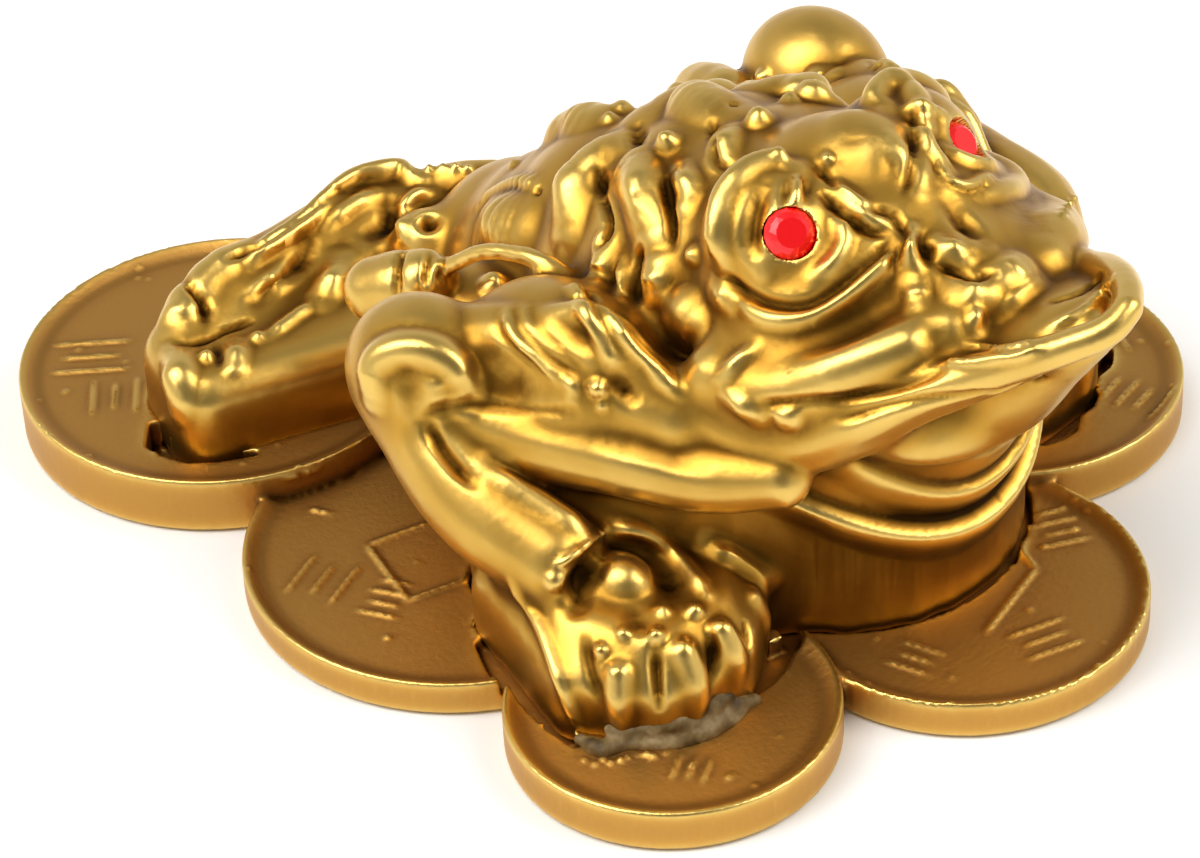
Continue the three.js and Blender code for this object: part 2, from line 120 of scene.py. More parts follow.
def limb(spots):
    """A limb, fold or ridge: a round bar through spots (x, y, z, radius), with rounded ends."""
    data = bpy.data.curves.new("limb", "CURVE")
    data.dimensions = "3D"
    data.bevel_depth = MM
    data.bevel_resolution = 4
    data.use_fill_caps = True
    line = data.splines.new("BEZIER")
    line.resolution_u = 8
    line.bezier_points.add(len(spots) - 1)
    for point, (*at, radius) in zip(line.bezier_points, spots):
        point.co = spot(*at)
        point.radius = radius
        point.handle_left_type = "AUTO"
        point.handle_right_type = "AUTO"
    bar = bpy.data.objects.new("limb", data)
    bpy.context.collection.objects.link(bar)
    make_active(bar)
    bpy.ops.object.convert(target="MESH")
    ends = [ball(at, radius) for *at, radius in (spots[0], spots[-1])]
    return [bar, *ends[0], *ends[1]]


# A standing block is made this much larger, because easing the skin draws its walls in.
BLOCK_ALLOWANCE = 0.2


def hull(whole):
    """Draws a tight skin over a form, which takes its place."""
    make_active(whole)
    bpy.ops.object.mode_set(mode="EDIT")
    bpy.ops.mesh.select_all(action="SELECT")
    bpy.ops.mesh.convex_hull()
    bpy.ops.mesh.normals_make_consistent(inside=False)
    bpy.ops.object.mode_set(mode="OBJECT")
    return [whole]


def block(discs, bottom, top, grow=0.0):
    """A straight-sided block: the hull of upright discs (x, y, radius) between two heights."""
    rounds = []
    for x, y, radius in discs:
        deselect()
        bpy.ops.mesh.primitive_cylinder_add(
            vertices=32, radius=(radius + grow) * MM, depth=(top - bottom) * MM,
            location=spot(x, y, (top + bottom) / 2))
        rounds.append(bpy.context.object)
    return hull(join(rounds))


def wedge(foot, bottom, ledge, crown, top):
    """A block whose wall stands upright from the bottom to a ledge and leans in to its crown."""
    return hull(join(block(foot, bottom, ledge, BLOCK_ALLOWANCE) + block(crown, ledge, top)))


def join(forms):
    deselect()
    for form in forms:
        form.select_set(True)
    bpy.context.view_layer.objects.active = forms[0]
    if len(forms) > 1:
        bpy.ops.object.join()
    bpy.ops.object.transform_apply(location=True, rotation=True, scale=True)
    return bpy.context.object


def melt(forms, grain, softening):
    """Joins forms into one closed skin with faces of one size, and eases it."""
    whole = join(forms)
    apply_modifier(whole, "REMESH", mode="VOXEL", voxel_size=grain * MM)
    ease(whole, softening)
    return whole


def cut(piece, cutters):
    for cutter in cutters:
        apply_modifier(piece, "BOOLEAN", operation="DIFFERENCE", solver="MANIFOLD", object=cutter)
        bpy.data.objects.remove(cutter)
    return piece


def on_side(side, spots):
    """One side of a pair: x counts outward from the middle of the toad."""
    return [(side * x, *rest) for x, *rest in spots]


def paired(side, at, radii, lean=0):
    """One of a pair of masses, whose top leans outward by some degrees."""
    return ball(*on_side(side, [at]), radii, (0, side * lean, 0))


# Chasing: lines raised or sunk on the skin, as with a chasing tool. A line is its width, its
# height (below zero where it is sunk) and the pixels of the photograph that it runs through.

def ray(pixel):
    across = (pixel[0] - IMAGE_SIZE[0] / 2) / FOCAL_PIXELS
    down = (pixel[1] - IMAGE_SIZE[1] / 2) / FOCAL_PIXELS
    return (FORWARD + RIGHTWARD * across - UPWARD * down).normalized()


def through(stops, step):
    """A smooth path through the stops, with a point at about every step."""
    stops = np.array(stops, float)
    if len(stops) == 1:
        return stops
    before = np.vstack([2 * stops[0] - stops[1], stops, 2 * stops[-1] - stops[-2]])
    path = []
    for a, b, c, d in zip(before, before[1:], before[2:], before[3:]):
        count = max(2, int(np.linalg.norm(c - b) / step))
        t = np.linspace(0, 1, count, endpoint=False)[:, None]
        path.append(0.5 * (2 * b + (c - a) * t + (2 * a - 5 * b + 4 * c - d) * t ** 2
                           + (3 * b - a - 3 * c + d) * t ** 3))
    return np.vstack([*path, stops[-1:]])


def measured(place, normal):
    """A place on the skin in the layout's millimetres, with its normal."""
    return np.array((*(place / MM - ORIGIN), *normal))


PIXEL_STEP = 4
TRACK_GAP = 1.5


def tracks(tree, pixels):
    """Where the pixels' line of sight meets the skin, parted where it jumps to another form."""
    found = []
    for pixel in through(pixels, PIXEL_STEP):
        place, normal, _, _ = tree.ray_cast(spot(*EYE), ray(pixel))
        if place is None:
            continue
        here = measured(place, normal)
        if not found or np.linalg.norm(found[-1][-1][:3] - here[:3]) > TRACK_GAP:
            found.append([])
        found[-1].append(here)
    return [np.array(track) for track in found]


def mirrored(tree, track):
    """The same track on the other side of the toad, laid on the skin there."""
    return np.array([measured(*tree.find_nearest(spot(-x, y, z))[:2]) for x, y, z, *_ in track])


def laid(tree, stops, step=0.25):
    """A track through places on the layout, laid on the skin."""
    return np.array([measured(*tree.find_nearest(spot(*at))[:2]) for at in through(stops, step)])


def tree_of(piece):
    return BVHTree.FromObject(piece, bpy.context.evaluated_depsgraph_get())


def skin_of(mesh):
    """The skin's points in the layout's millimetres, and their normals."""
    count = len(mesh.vertices)
    points = np.empty(count * 3)
    normals = np.empty(count * 3)
    mesh.vertices.foreach_get("co", points)
    mesh.vertex_normals.foreach_get("vector", normals)
    return points.reshape(-1, 3) / MM - np.array(ORIGIN), normals.reshape(-1, 3)


def edges_of(mesh):
    edges = np.empty(len(mesh.edges) * 2, int)
    mesh.edges.foreach_get("vertices", edges)
    return edges.reshape(-1, 2)


def eased(values, edges, rounds):
    """Values on the skin after each is drawn halfway to its neighbours' mean, some times."""
    a, b = edges.T
    count = len(values)
    neighbours = np.maximum(np.bincount(a, minlength=count) + np.bincount(b, minlength=count), 1)
    for _ in range(rounds):
        total = [np.bincount(a, column[b], count) + np.bincount(b, column[a], count)
                 for column in values.T]
        values = (values + np.stack(total, 1) / neighbours[:, None]) / 2
    return values


def press(points, normals, track, width, padded=False):
    """Which points lie by a track, and how much of its height each takes. A pad ends in a crease."""
    low = track[:, :3].min(0) - width
    high = track[:, :3].max(0) + width
    near = np.flatnonzero(((points > low) & (points < high)).all(1))
    if not len(near):
        return near, np.zeros(0)
    away = np.linalg.norm(points[near, None] - track[None, :, :3], axis=2)
    nearest = away.argmin(1)
    away = away[np.arange(len(near)), nearest]
    reach = np.minimum(away / width, 1)
    share = np.cos(np.pi / 2 * reach) if padded else 0.5 + 0.5 * np.cos(np.pi * reach)
    facing = (normals[near] * track[nearest, 3:]).sum(1)
    share *= np.clip(facing * 2, 0, 1)
    if len(track) > 3:
        along = np.r_[0, np.cumsum(np.linalg.norm(np.diff(track[:, :3], axis=0), axis=1))]
        ends = np.minimum(along, along[-1] - along)[nearest]
        share *= np.clip(0.35 + ends / (2 * width), 0, 1)
    return near, share


def found_tracks(tree, stops, both_sides):
    found = [laid(tree, stops)] if len(stops[0]) == 3 else tracks(tree, stops)
    return found + [mirrored(tree, track) for track in found] if both_sides else found


def swell(piece, pads, both_sides=False):
    """Swells rounded pads on a skin. Where they meet, a crease stays between them."""
    points, normals = skin_of(piece.data)
    tree = tree_of(piece)
    normals = eased(normals, edges_of(piece.data), 12)
    raised = np.zeros(len(points))
    for width, height, stops in pads.values():
        for track in found_tracks(tree, stops, both_sides):
            near, share = press(points, normals, track, width, padded=True)
            raised[near] = np.maximum(raised[near], share * height)
    move(piece, points + normals * raised[:, None])


def chase(piece, lines, both_sides=False):
    """Works the lines into a skin. Where they cross, the highest and the deepest hold."""
    points, normals = skin_of(piece.data)
    tree = tree_of(piece)
    normals = eased(normals, edges_of(piece.data), 8)
    raised = np.zeros(len(points))
    sunk = np.zeros(len(points))
    for width, height, stops in lines.values():
        for track in found_tracks(tree, stops, both_sides):
            near, share = press(points, normals, track, width)
            if height > 0:
                raised[near] = np.maximum(raised[near], share * height)
            else:
                sunk[near] = np.minimum(sunk[near], share * height)
    move(piece, points + normals * (raised + sunk)[:, None])


def ease(piece, rounds):
    apply_modifier(piece, "SMOOTH", factor=0.5, iterations=rounds)


def move(piece, points):
    """Puts the skin's points at new places, and none of them under the bed's flat underside."""
    points[:, 2] = np.maximum(points[:, 2], 0)
    piece.data.vertices.foreach_set("co", ((points + np.array(ORIGIN)) * MM).ravel())
    piece.data.update()


# The toad's large masses.

BELLY = [(0, -16, 10.2), (0, -8, 10.2), (0, 4, 7.2), (-1.4, 12, 3.6)]
BELLY_HEIGHT = 9
HIND_FOOT = [(-19.3, 12.6, 1.7), (-17.6, 16.2, 2.2), (-11.5, 9.6, 1.8), (-3.4, 14.8, 2.4)]
HIND_FOOT_LEDGE = 6.4
HIND_FOOT_CROWN = [(-18.8, 13.2, 1.5), (-17.4, 16.2, 1.9), (-11.6, 10.6, 1.7), (-3.4, 14.8, 2.4)]
HIND_FOOT_HEIGHT = 7.5
HAND = [(20.7, -17.6, 1.7), (18.6, -21, 1.9), (15, -21.4, 1.9), (12.2, -19.6, 1.9),
        (18.3, -9.5, 1.6), (12.5, -10, 2)]
HAND_LEDGE = 5
HAND_CROWN = [(17.8, -15.5, 2.4), (14.4, -19, 2), (17.4, -19.2, 2), (13.2, -17, 2)]
HAND_HEIGHT = 7.4
ARM_WALL = [(15.5, -7, 2.2), (12, -15, 2), (8, -19.4, 2), (7, -4, 2)]
ARM_WALL_HEIGHT = 12.5
BED_FLOOR = 1.0
LEFT_ELBOW_BACK = 3.4
LEFT_HAND_BACK = 3
LEFT_HAND_IN = 2.5


def on_hand(side, spots):
    """The hands: the left one is drawn in towards the belly, and lies further back."""
    if side == RIGHT:
        return on_side(side, spots)
    return [(x - LEFT_HAND_IN, y + LEFT_HAND_BACK, *rest) for x, y, *rest in spots]


def standing():
    """What stands on the coins: the outlines of the feet, the arms and the belly."""
    outlines = [BELLY, HIND_FOOT]
    for side in (RIGHT, LEFT):
        outlines += [on_side(side, ARM_WALL), on_hand(side, HAND)]
    return outlines


# The trunk from the chest to the rump: y, z and the radii of each mass. Two lumps lie on it.
TRUNK = [
    (-19, 13, (9.5, 8, 10.5)), (-12, 13.2, (10.4, 8, 11.3)), (-8, 12.4, (10, 7, 11.2)),
    (-5, 11.4, (9.6, 7, 10.6)), (-1, 9.9, (8.7, 7, 9.6)), (2, 8.5, (7.8, 6, 8.6)),
    (5, 7.5, (6.8, 5, 7.4)), (8, 6.5, (5.8, 5, 6.3)), (12, 5.5, (3.6, 4, 4)),
]
BACK_LUMPS = [((1.2, 3.6, 15.5), (2.3, 1.9, 2.3)), ((1, 1.4, 17), (2, 1.8, 2.2))]
CHEST_CENTRE = (0, -16)
CHEST_RADIUS = 10.2
CHEST_BOTTOM = 1.2
CHEST_TOP = 15.6


def trunk():
    """The humped back that falls away to the rump, and the drum of the chest."""
    forms = []
    for y, z, radii in TRUNK:
        forms += ball((0, y, z), radii)
    for at, radii in BACK_LUMPS:
        forms += ball(at, radii)
    return forms + block([(*CHEST_CENTRE, CHEST_RADIUS)], CHEST_BOTTOM, CHEST_TOP)


# The head's masses: place, radii and, where it is tilted, the turn in degrees.
HEAD = {
    "skull": ((0, -18, 18.4), (9.6, 8.6, 7)),
    "face": ((0, -21, 18.4), (8.6, 7.4, 4.8)),
    "forehead": ((0, -16, 22.4), (4.8, 4.4, 3.8)),
    "forehead dome": ((0.6, -17.2, 24.5), (2.9, 3.1, 2.4)),
    "muzzle": ((0, -24, 20.8), (5, 4.8, 2.9), (18, 0, 0)),
    "nose": ((0, -26.6, 21.4), (2.8, 2.2, 1.7)),
}
EYE_BULGE = ((4.8, -16.5, 22.3), (3.7, 3.9, 3.7), 20)
CHEEK = ((5.4, -19.8, 19), (4.6, 4.8, 3.3))
UPPER_LIP = [(10.2, -17.6, 17.2, 1.9), (9.4, -20.8, 17.4, 2.1), (7.8, -23.2, 18.6, 2.1),
             (5.8, -25.2, 19.8, 2), (3.2, -26.8, 20.8, 1.7)]


def head():
    """Skull, forehead dome, the bulges of the eyes, the cheeks and the muzzle."""
    forms = []
    for mass in HEAD.values():
        forms += ball(*mass)
    for side in (RIGHT, LEFT):
        forms += paired(side, *EYE_BULGE) + paired(side, *CHEEK) + limb(on_side(side, UPPER_LIP))
    return forms


ELBOWS = {RIGHT: (17, -3.1, 13.9), LEFT: (16.4, -3.1 + LEFT_ELBOW_BACK, 13.9)}
ELBOW_RADII = (3.9, 4.6, 4.3)
SHOULDER = ((12.4, -9, 13.4), (4.6, 7, 5.8))
ARM_ROOT = ((12.8, -12, 7.6), (3.6, 4.4, 3.4))
SHOULDER_FOLD = [(15.2, -5.4, 14.8, 2.6), (13.4, -10.6, 15.6, 2.8), (11.6, -16, 14.6, 2.4)]
FOREARM_TOPS = {RIGHT: (17.4, -3.4, 12.6, 3.4), LEFT: (17.4, -3.4 + LEFT_ELBOW_BACK, 12.6, 3.4)}
WRIST = [(18.8, -8.6, 9.6, 2.9), (18.3, -13.4, 8, 2.6)]
UPPER_ARMS = {
    RIGHT: [(16.8, -4.8, 12.8, 3.2), (15.6, -9.6, 12.6, 2.5), (14.4, -13.8, 12.8, 2.2),
            (12.2, -18.6, 12.5, 2), (10.6, -22, 13.2, 1.6)],
    LEFT: [(16.4, -1, 13, 3.2), (16, -8.5, 13.6, 2.6), (15, -13.4, 14.5, 2.3),
           (14.2, -17.6, 14.7, 2.2), (12.8, -20.2, 14.4, 1.7)],
}


def arm(side):
    """The raised elbow, the shoulder with its fold, and the forearm that drops to the hand."""
    forms = paired(side, ELBOWS[side], ELBOW_RADII) + paired(side, *SHOULDER) + paired(side, *ARM_ROOT)
    forms += limb(on_side(side, SHOULDER_FOLD))
    return forms + limb([*on_side(side, [FOREARM_TOPS[side]]), *on_hand(side, WRIST)])


CHIN = [(0, -22, 13.4, 4.4), (0, -27, 16.2, 3.4), (0, -31, 19.6, 1.8), (0.2, -33.6, 22, 1)]
MOUTH_FLOOR = [
    ((0, -25, 15.2), (7.4, 4, 2.4), (30, 0, 0)),
    ((0.8, -28.3, 19.5), (4.7, 5.4, 1.6), (-33, 0, 0)),
    ((0.6, -25.4, 18.6), (4.6, 3, 2.4)),
]
LOWER_LIP = [(10.8, -18, 14.6, 1.8), (9.4, -21.6, 14.7, 1.9), (8, -24.2, 16.2, 1.9),
             (6.4, -26.4, 18, 1.7), (4.8, -28.8, 19.4, 1.4), (2.8, -31.4, 20.8, 1.1)]


def lower_jaw():
    """The chin, the floor of the mouth that runs forward to the spoon's tip, and the lower lip."""
    forms = limb(CHIN)
    for mass in MOUTH_FLOOR:
        forms += ball(*mass)
    for side in (RIGHT, LEFT):
        forms += limb(on_side(side, LOWER_LIP))
    return forms


HEEL = ((-2, 15, 7), (3.2, 3, 2.8))
HIP = ((-4.4, 10.6, 9), (1.9, 2, 2.1))
FOOT_RIDGES = [
    [(-2, 17, 8.6, 1.4), (-9.6, 17.4, 8.2, 1.3), (-13.6, 17.8, 8, 1.4), (-16.4, 17.2, 7, 1.5),
     (-17.2, 16.8, 5.4, 1.3)],
    [(-3.4, 15.6, 8.4, 1.4), (-8, 15.8, 7.8, 1.3), (-12.4, 15.6, 7.4, 1.4), (-15.8, 15.2, 6.4, 1.5)],
    [(-6, 13.8, 7.4, 1.4), (-10, 13.4, 6.6, 1.3), (-13.6, 13.2, 6, 1.4), (-17, 13.6, 4.8, 1.5)],
]


def hind_leg():
    """Hip, heel and the long foot that lies to the right, with three ridged toes."""
    forms = ball(*HEEL) + ball(*HIP)
    for ridge in FOOT_RIDGES:
        forms += limb(ridge)
    return forms


HAUNCH = ((9.5, 1, 8.5), (4.4, 7, 5.6))
COARSE_GRAIN = 0.5
COARSE_EASING = 5


def masses():
    forms = trunk() + head() + lower_jaw() + hind_leg()
    forms += wedge(HIND_FOOT, BED_FLOOR, HIND_FOOT_LEDGE, HIND_FOOT_CROWN, HIND_FOOT_HEIGHT)
    forms += block(BELLY, BED_FLOOR, BELLY_HEIGHT, BLOCK_ALLOWANCE)
    for side in (RIGHT, LEFT):
        forms += arm(side) + paired(side, *HAUNCH)
        forms += block(on_side(side, ARM_WALL), BED_FLOOR, ARM_WALL_HEIGHT)
        crown = on_hand(side, HAND_CROWN)
        forms += wedge(on_hand(side, HAND), BED_FLOOR, HAND_LEDGE, crown, HAND_HEIGHT)
    return melt(forms, COARSE_GRAIN, COARSE_EASING)


# The medium forms: lips, the upper arms, eye seats and the scrolls.

STONE_SEATS = {RIGHT: (-6.2, -18.7, 24.2), LEFT: (5.9, -19, 23.4)}
STONE_OUT = {RIGHT: (-0.45, -0.65, 0.61), LEFT: (0.2, -0.74, 0.64)}
STONE_RADIUS = 1.3
STONE_SIDES = 16


def stone_way(side):
    """Which way an eye stone looks."""
    return Vector(STONE_OUT[side]).normalized()


def seat_disc(side, radius, low, high):
    """A round plate square to the stone, from one height over its girdle to another."""
    way = stone_way(side)
    deselect()
    bpy.ops.mesh.primitive_cylinder_add(
        vertices=48, radius=radius * MM, depth=(high - low) * MM,
        location=spot(*(Vector(STONE_SEATS[side]) + way * (low + high) / 2)),
        rotation=way.to_track_quat("Z", "Y").to_euler())
    return [bpy.context.object]


# The band round the mouth: along the cheek from each elbow, then the rim of the spoon-shaped lip.
CHEEK_BAND = [(14, -7.8, 17.4, 0.8), (13.5, -9.8, 18.8, 0.8), (13, -11.8, 19.3, 0.9), (12.2, -15, 16.8, 1.1),
              (11, -19.2, 15, 1.2), (9.8, -22.2, 15.2, 1.3), (8.4, -25, 17, 1.3)]
SPOON_TIP = (0.2, -34.9, 24, 0.8)
SPOON_RIMS = {
    RIGHT: [(-6.4, -27.8, 19.2, 1.15), (-4.2, -31.2, 21.2, 1), (-2.4, -33.6, 22.6, 0.9),
            (-1, -34.8, 23.4, 0.85), SPOON_TIP],
    LEFT: [(6.2, -26.3, 18.9, 1.15), (5, -28.8, 20.8, 1), (3.4, -31.5, 22.7, 0.9),
           (1.6, -33.7, 23.7, 0.85), SPOON_TIP],
}

# The scroll along each flank: a drum that gets its rings later, and a thin arched stem.
SCROLL_DRUM = [(12.6, 5.4, 12.7, 1.85), (12.1, 4.2, 13.3, 1.95), (11.6, 2.8, 14, 1.75)]
SCROLL_STEM = [(11.5, 2.4, 14.6, 0.6), (10.9, 1, 15.6, 0.5), (10.4, -0.6, 16.8, 0.5),
               (10, -2.4, 17.4, 0.5), (9.7, -4.4, 17.6, 0.6), (9.4, -5.8, 17, 0.7)]

TOES = [
    [(20.7, -20.2, 5.8, 0.7), (21.1, -20.6, 4.4, 0.8), (21, -20.6, 2.9, 0.6)],
    [(17.9, -22, 6.4, 0.8), (18, -22.7, 4.8, 0.95), (18, -22.7, 3, 0.75)],
    [(15.5, -22.4, 6.6, 0.7), (15.4, -23, 5.2, 0.8), (15.3, -22.9, 3.4, 0.65)],
    [(11.9, -20.9, 5.6, 0.7), (11.7, -21.2, 4.2, 0.8), (11.7, -21.1, 2.8, 0.6)],
]
WRIST_BUMP = (16.7, -16.6, 7.2)
WRIST_BUMP_RADII = (1.6, 1.9, 1.6)


def toes(side):
    """The toes that hang down a hand's front wall, and the bump behind them."""
    forms = ball(*on_hand(side, [WRIST_BUMP]), WRIST_BUMP_RADII)
    for toe in TOES:
        forms += limb(on_hand(side, toe))
    return forms


EYE_SEAT_RADIUS = 1.75
EYE_SEAT_BOTTOM = -1.6
EYE_SEAT_TOP = 0.05
SHOULDER_TOP = [(15.2, -4.4, 15.6, 2), (14, -8.4, 16.7, 2.3), (12.8, -12, 17, 2.2)]
RUMP_FOLD = [(-0.4, 14.4, 8.9, 1.2), (1, 13.2, 9.1, 1.3), (2.2, 12, 9.2, 1.2)]


def medium_forms():
    """The lip bands, then each side's upper arm, scroll, toes, eye seat and shoulder."""
    forms = []
    for side in (RIGHT, LEFT):
        forms += limb([*on_side(side, CHEEK_BAND), *SPOON_RIMS[side]])
    for side in (RIGHT, LEFT):
        for bar in (UPPER_ARMS[side], SCROLL_DRUM, SCROLL_STEM):
            forms += limb(on_side(side, bar))
        forms += toes(side) + seat_disc(side, EYE_SEAT_RADIUS, EYE_SEAT_BOTTOM, EYE_SEAT_TOP)
        forms += limb(on_side(side, SHOULDER_TOP))
    return forms + limb(RUMP_FOLD)


# Pads swelled on the skin: how far each spreads, how high it stands, and its pixels.

FLANK_PADS = {
    "first lobe": (2.1, 1.3, [(488, 222), (518, 228)]),
    "second lobe": (1.6, 1.2, [(588, 155), (574, 190), (567, 228)]),
    "third lobe": (1.5, 1.4, [(632, 165), (645, 195), (650, 232)]),
    "fourth lobe": (1.0, 0.9, [(602, 245), (605, 265), (600, 285)]),
    "teardrop": (0.9, 0.8, [(680, 170), (690, 190), (685, 205)]),
    "drop": (1.1, 1.2, [(656, 268), (656, 290)]),
    "narrow lobe": (0.5, 0.6, [(622, 262), (624, 280), (622, 300)]),
    "small lobe": (0.7, 0.6, [(695, 255)]),
    "curved ridge": (0.6, 0.4, [(480, 205), (500, 190), (520, 182), (535, 185)]),
    "shoulder knob": (1.0, 0.8, [(495, 285)]),
}

BACK_PADS = {
    "rump lump": (1.7, 1.2, [(562, 124), (590, 117)]),
    "rump knob": (0.8, 0.6, [(622, 110)]),
    "back lump": (2.0, 1.1, [(650, 112), (690, 101), (725, 110)]),
    "bright lump": (1.5, 0.9, [(598, 152), (618, 143)]),
    "temple lobe": (1.1, 0.9, [(727, 132), (722, 158)]),
    "forehead lump": (1.2, 0.6, [(800, 92), (830, 82)]),
}

# Beads in a row on the rump, and warts: how far each spreads, how high it stands, its pixel.
RUMP_BEADS = [(0.36, 0.45, (x, y)) for x, y in ((430, 170), (443, 168), (456, 168), (468, 170))]
WARTS = [
    (0.95, 0.9, (679, 98)), (0.8, 0.8, (668, 143)), (0.9, 0.85, (759, 121)), (0.65, 0.6, (790, 102)),
    (0.65, 0.6, (763, 78)), (0.85, 0.8, (817, 79)), (0.6, 0.6, (610, 121)), (0.4, 0.4, (827, 159)),
    (0.5, 0.45, (779, 154)), (0.5, 0.5, (527, 150)), (0.45, 0.4, (515, 165)),
]
for number, (width, height, pixel) in enumerate(RUMP_BEADS + WARTS):
    BACK_PADS["knob", number] = (width, height, [pixel])

FACE_PADS = {
    "brow ring": (0.9, 0.85, [(722, 264), (719, 235), (724, 202), (735, 184), (752, 170), (775, 164),
                              (795, 167)]),
    "ring foot": (0.9, 0.7, [(716, 290), (730, 301)]),
    "eye crease": (0.45, 0.5, [(797, 178), (796, 192), (795, 207)]),
    "inner brow": (0.6, 0.65, [(827, 184), (850, 200), (875, 218)]),
    "seat left": (0.7, 0.4, [(752, 258), (762, 272)]),
    "seat right": (0.6, 0.45, [(838, 215), (845, 240), (834, 262), (815, 277)]),
    "lower lid": (0.7, 0.35, [(738, 302), (770, 319), (805, 319), (840, 302), (868, 278), (895, 252)]),
    "cheek": (1.8, 1.1, [(690, 316), (697, 325)]),
    "cheek ridge": (0.6, 0.5, [(722, 378), (738, 362), (756, 348)]),
    "mouth corner": (0.7, 0.5, [(727, 398), (742, 407), (757, 420)]),
    "corner pad": (0.9, 0.45, [(788, 419)]),
    "upper lip": (1.5, 0.35, [(790, 382), (830, 370), (870, 357), (915, 342), (945, 334)]),
    "lip band left": (0.6, 0.45, [(575, 290), (592, 327), (620, 369)]),
    "lip band right": (0.6, 0.45, [(612, 320), (631, 348), (655, 370), (680, 394)]),
}

MUZZLE_PADS = {
    "nostril wing": (0.7, 0.9, [(912, 232), (907, 247), (914, 268)]),
    "wing pad": (0.9, 0.9, [(914, 285), (916, 302)]),
    "nostril pad": (0.75, 0.7, [(938, 243), (955, 250), (966, 258)]),
    "lip pad": (1.2, 1.1, [(962, 290), (984, 295)]),
    "lip hook": (0.6, 0.6, [(978, 305), (975, 320), (977, 332)]),
    "snout": (1.3, 1.0, [(1006, 276), (1022, 266)]),
    "muzzle edge": (0.7, 0.4, [(1040, 278), (1020, 295), (998, 310)]),
    "bridge": (0.9, 0.5, [(893, 140), (905, 160), (915, 185)]),
    "left brow": (0.8, 0.45, [(885, 66), (905, 82), (918, 100), (924, 130), (924, 160), (918, 190)]),
    "left nostril": (0.9, 0.5, [(965, 240), (985, 250)]),
    "left cheek": (2.4, 0.5, [(1020, 200), (1045, 235)]),
    "left lid": (0.6, 0.4, [(932, 160), (945, 180), (968, 188), (992, 176)]),
}

HAND_PADS = {
    "wrist ridge": (0.6, 0.5, [(612, 528), (645, 533), (678, 557), (707, 592)]),
    "hand edge": (0.8, 0.6, [(707, 542), (739, 563), (768, 585)]),
    "knob 1": (0.6, 0.55, [(695, 612)]),
    "knob 2": (0.55, 0.4, [(663, 611)]),
    "knob 3": (0.55, 0.5, [(656, 635)]),
    "knob 4": (0.45, 0.3, [(623, 633)]),
    "knob 5": (0.5, 0.45, [(601, 651)]),
    "side knob": (0.7, 0.4, [(555, 582)]),
    "wall ridge": (0.45, 0.4, [(511, 582), (538, 622), (561, 684), (577, 722)]),
}

ARM_PADS = {
    "elbow ring": (1.15, 0.8, [(372, 400), (374, 366), (395, 350), (425, 350), (450, 362), (466, 382),
                               (464, 400)]),
    "elbow inner": (0.9, 0.5, [(438, 374), (440, 392)]),
    "forearm crest": (1.0, 0.5, [(490, 465), (520, 488), (560, 512), (592, 533)]),
    "shoulder ridge": (0.5, 0.22, [(505, 312), (509, 330), (520, 343), (537, 359), (560, 382)]),
    "lobe end": (0.5, 0.3, [(562, 378), (573, 386), (572, 398)]),
    "bead": (0.65, 0.6, [(598, 388)]),
    "small bead": (0.35, 0.3, [(602, 406)]),
}

FOOT_PADS = {
    "middle ridge": (0.75, 0.9, [(250, 262), (275, 243), (301, 226), (330, 200), (358, 180), (393, 172),
                                 (420, 181)]),
    "far ridge": (0.7, 0.5, [(215, 247), (260, 227), (300, 206), (345, 181), (385, 169)]),
    "near bar": (0.7, 0.5, [(326, 224), (350, 207), (374, 192)]),
    "near patch": (1.2, 0.9, [(340, 262), (332, 285), (322, 302)]),
    "near ridge": (0.6, 0.5, [(269, 337), (292, 320), (314, 304)]),
    "toe end": (1.3, 0.8, [(178, 352), (177, 380), (176, 408)]),
    "toe knob": (1.5, 0.9, [(176, 300), (180, 325)]),
    "small knob 1": (0.6, 0.6, [(207, 358)]),
    "small knob 2": (0.9, 0.8, [(238, 345), (234, 365)]),
    "small knob 3": (0.6, 0.5, [(258, 338)]),
    "drop": (0.8, 0.5, [(262, 290), (290, 272)]),
    "far patch": (1.5, 0.5, [(205, 264), (240, 252)]),
    "hip rim": (0.6, 0.6, [(402, 235), (403, 212), (415, 197), (437, 194)]),
}

FINE_GRAIN = 0.21
FINE_EASING = 11
SEAT_CLEARANCE = 0.03
POCKET_DEPTH = 1
POCKET_MOUTH = 3
STEM_HOLLOWS = [(11.6, 0.3, 15.3), (11.3, -1.6, 16.1), (11.1, -3.4, 16.9)]
STEM_HOLLOW_RADIUS = 1.3


def make_toad():
    body = masses()
    for side in (RIGHT, LEFT):
        for hollow in on_side(side, STEM_HOLLOWS):
            cut(body, ball(hollow, STEM_HOLLOW_RADIUS))
    toad = melt([body, *medium_forms()], FINE_GRAIN, FINE_EASING)
    swell(toad, FLANK_PADS, both_sides=True)
    swell(toad, FACE_PADS, both_sides=True)
    for pads in (BACK_PADS, MUZZLE_PADS, HAND_PADS, ARM_PADS, FOOT_PADS):
        swell(toad, pads)
    ease(toad, 2)
    for side in (RIGHT, LEFT):
        cut(toad, seat_disc(side, STONE_RADIUS + SEAT_CLEARANCE, -POCKET_DEPTH, POCKET_MOUTH))
    toad.name = "toad_cast"
    chest_rolls(toad)
    for lines in (EYE_LINES, FACE_LINES, ARM_LINES, HAND_LINES, FOOT_LINES, BACK_LINES):
        chase(toad, lines)
    ease(toad, 1)
    return toad


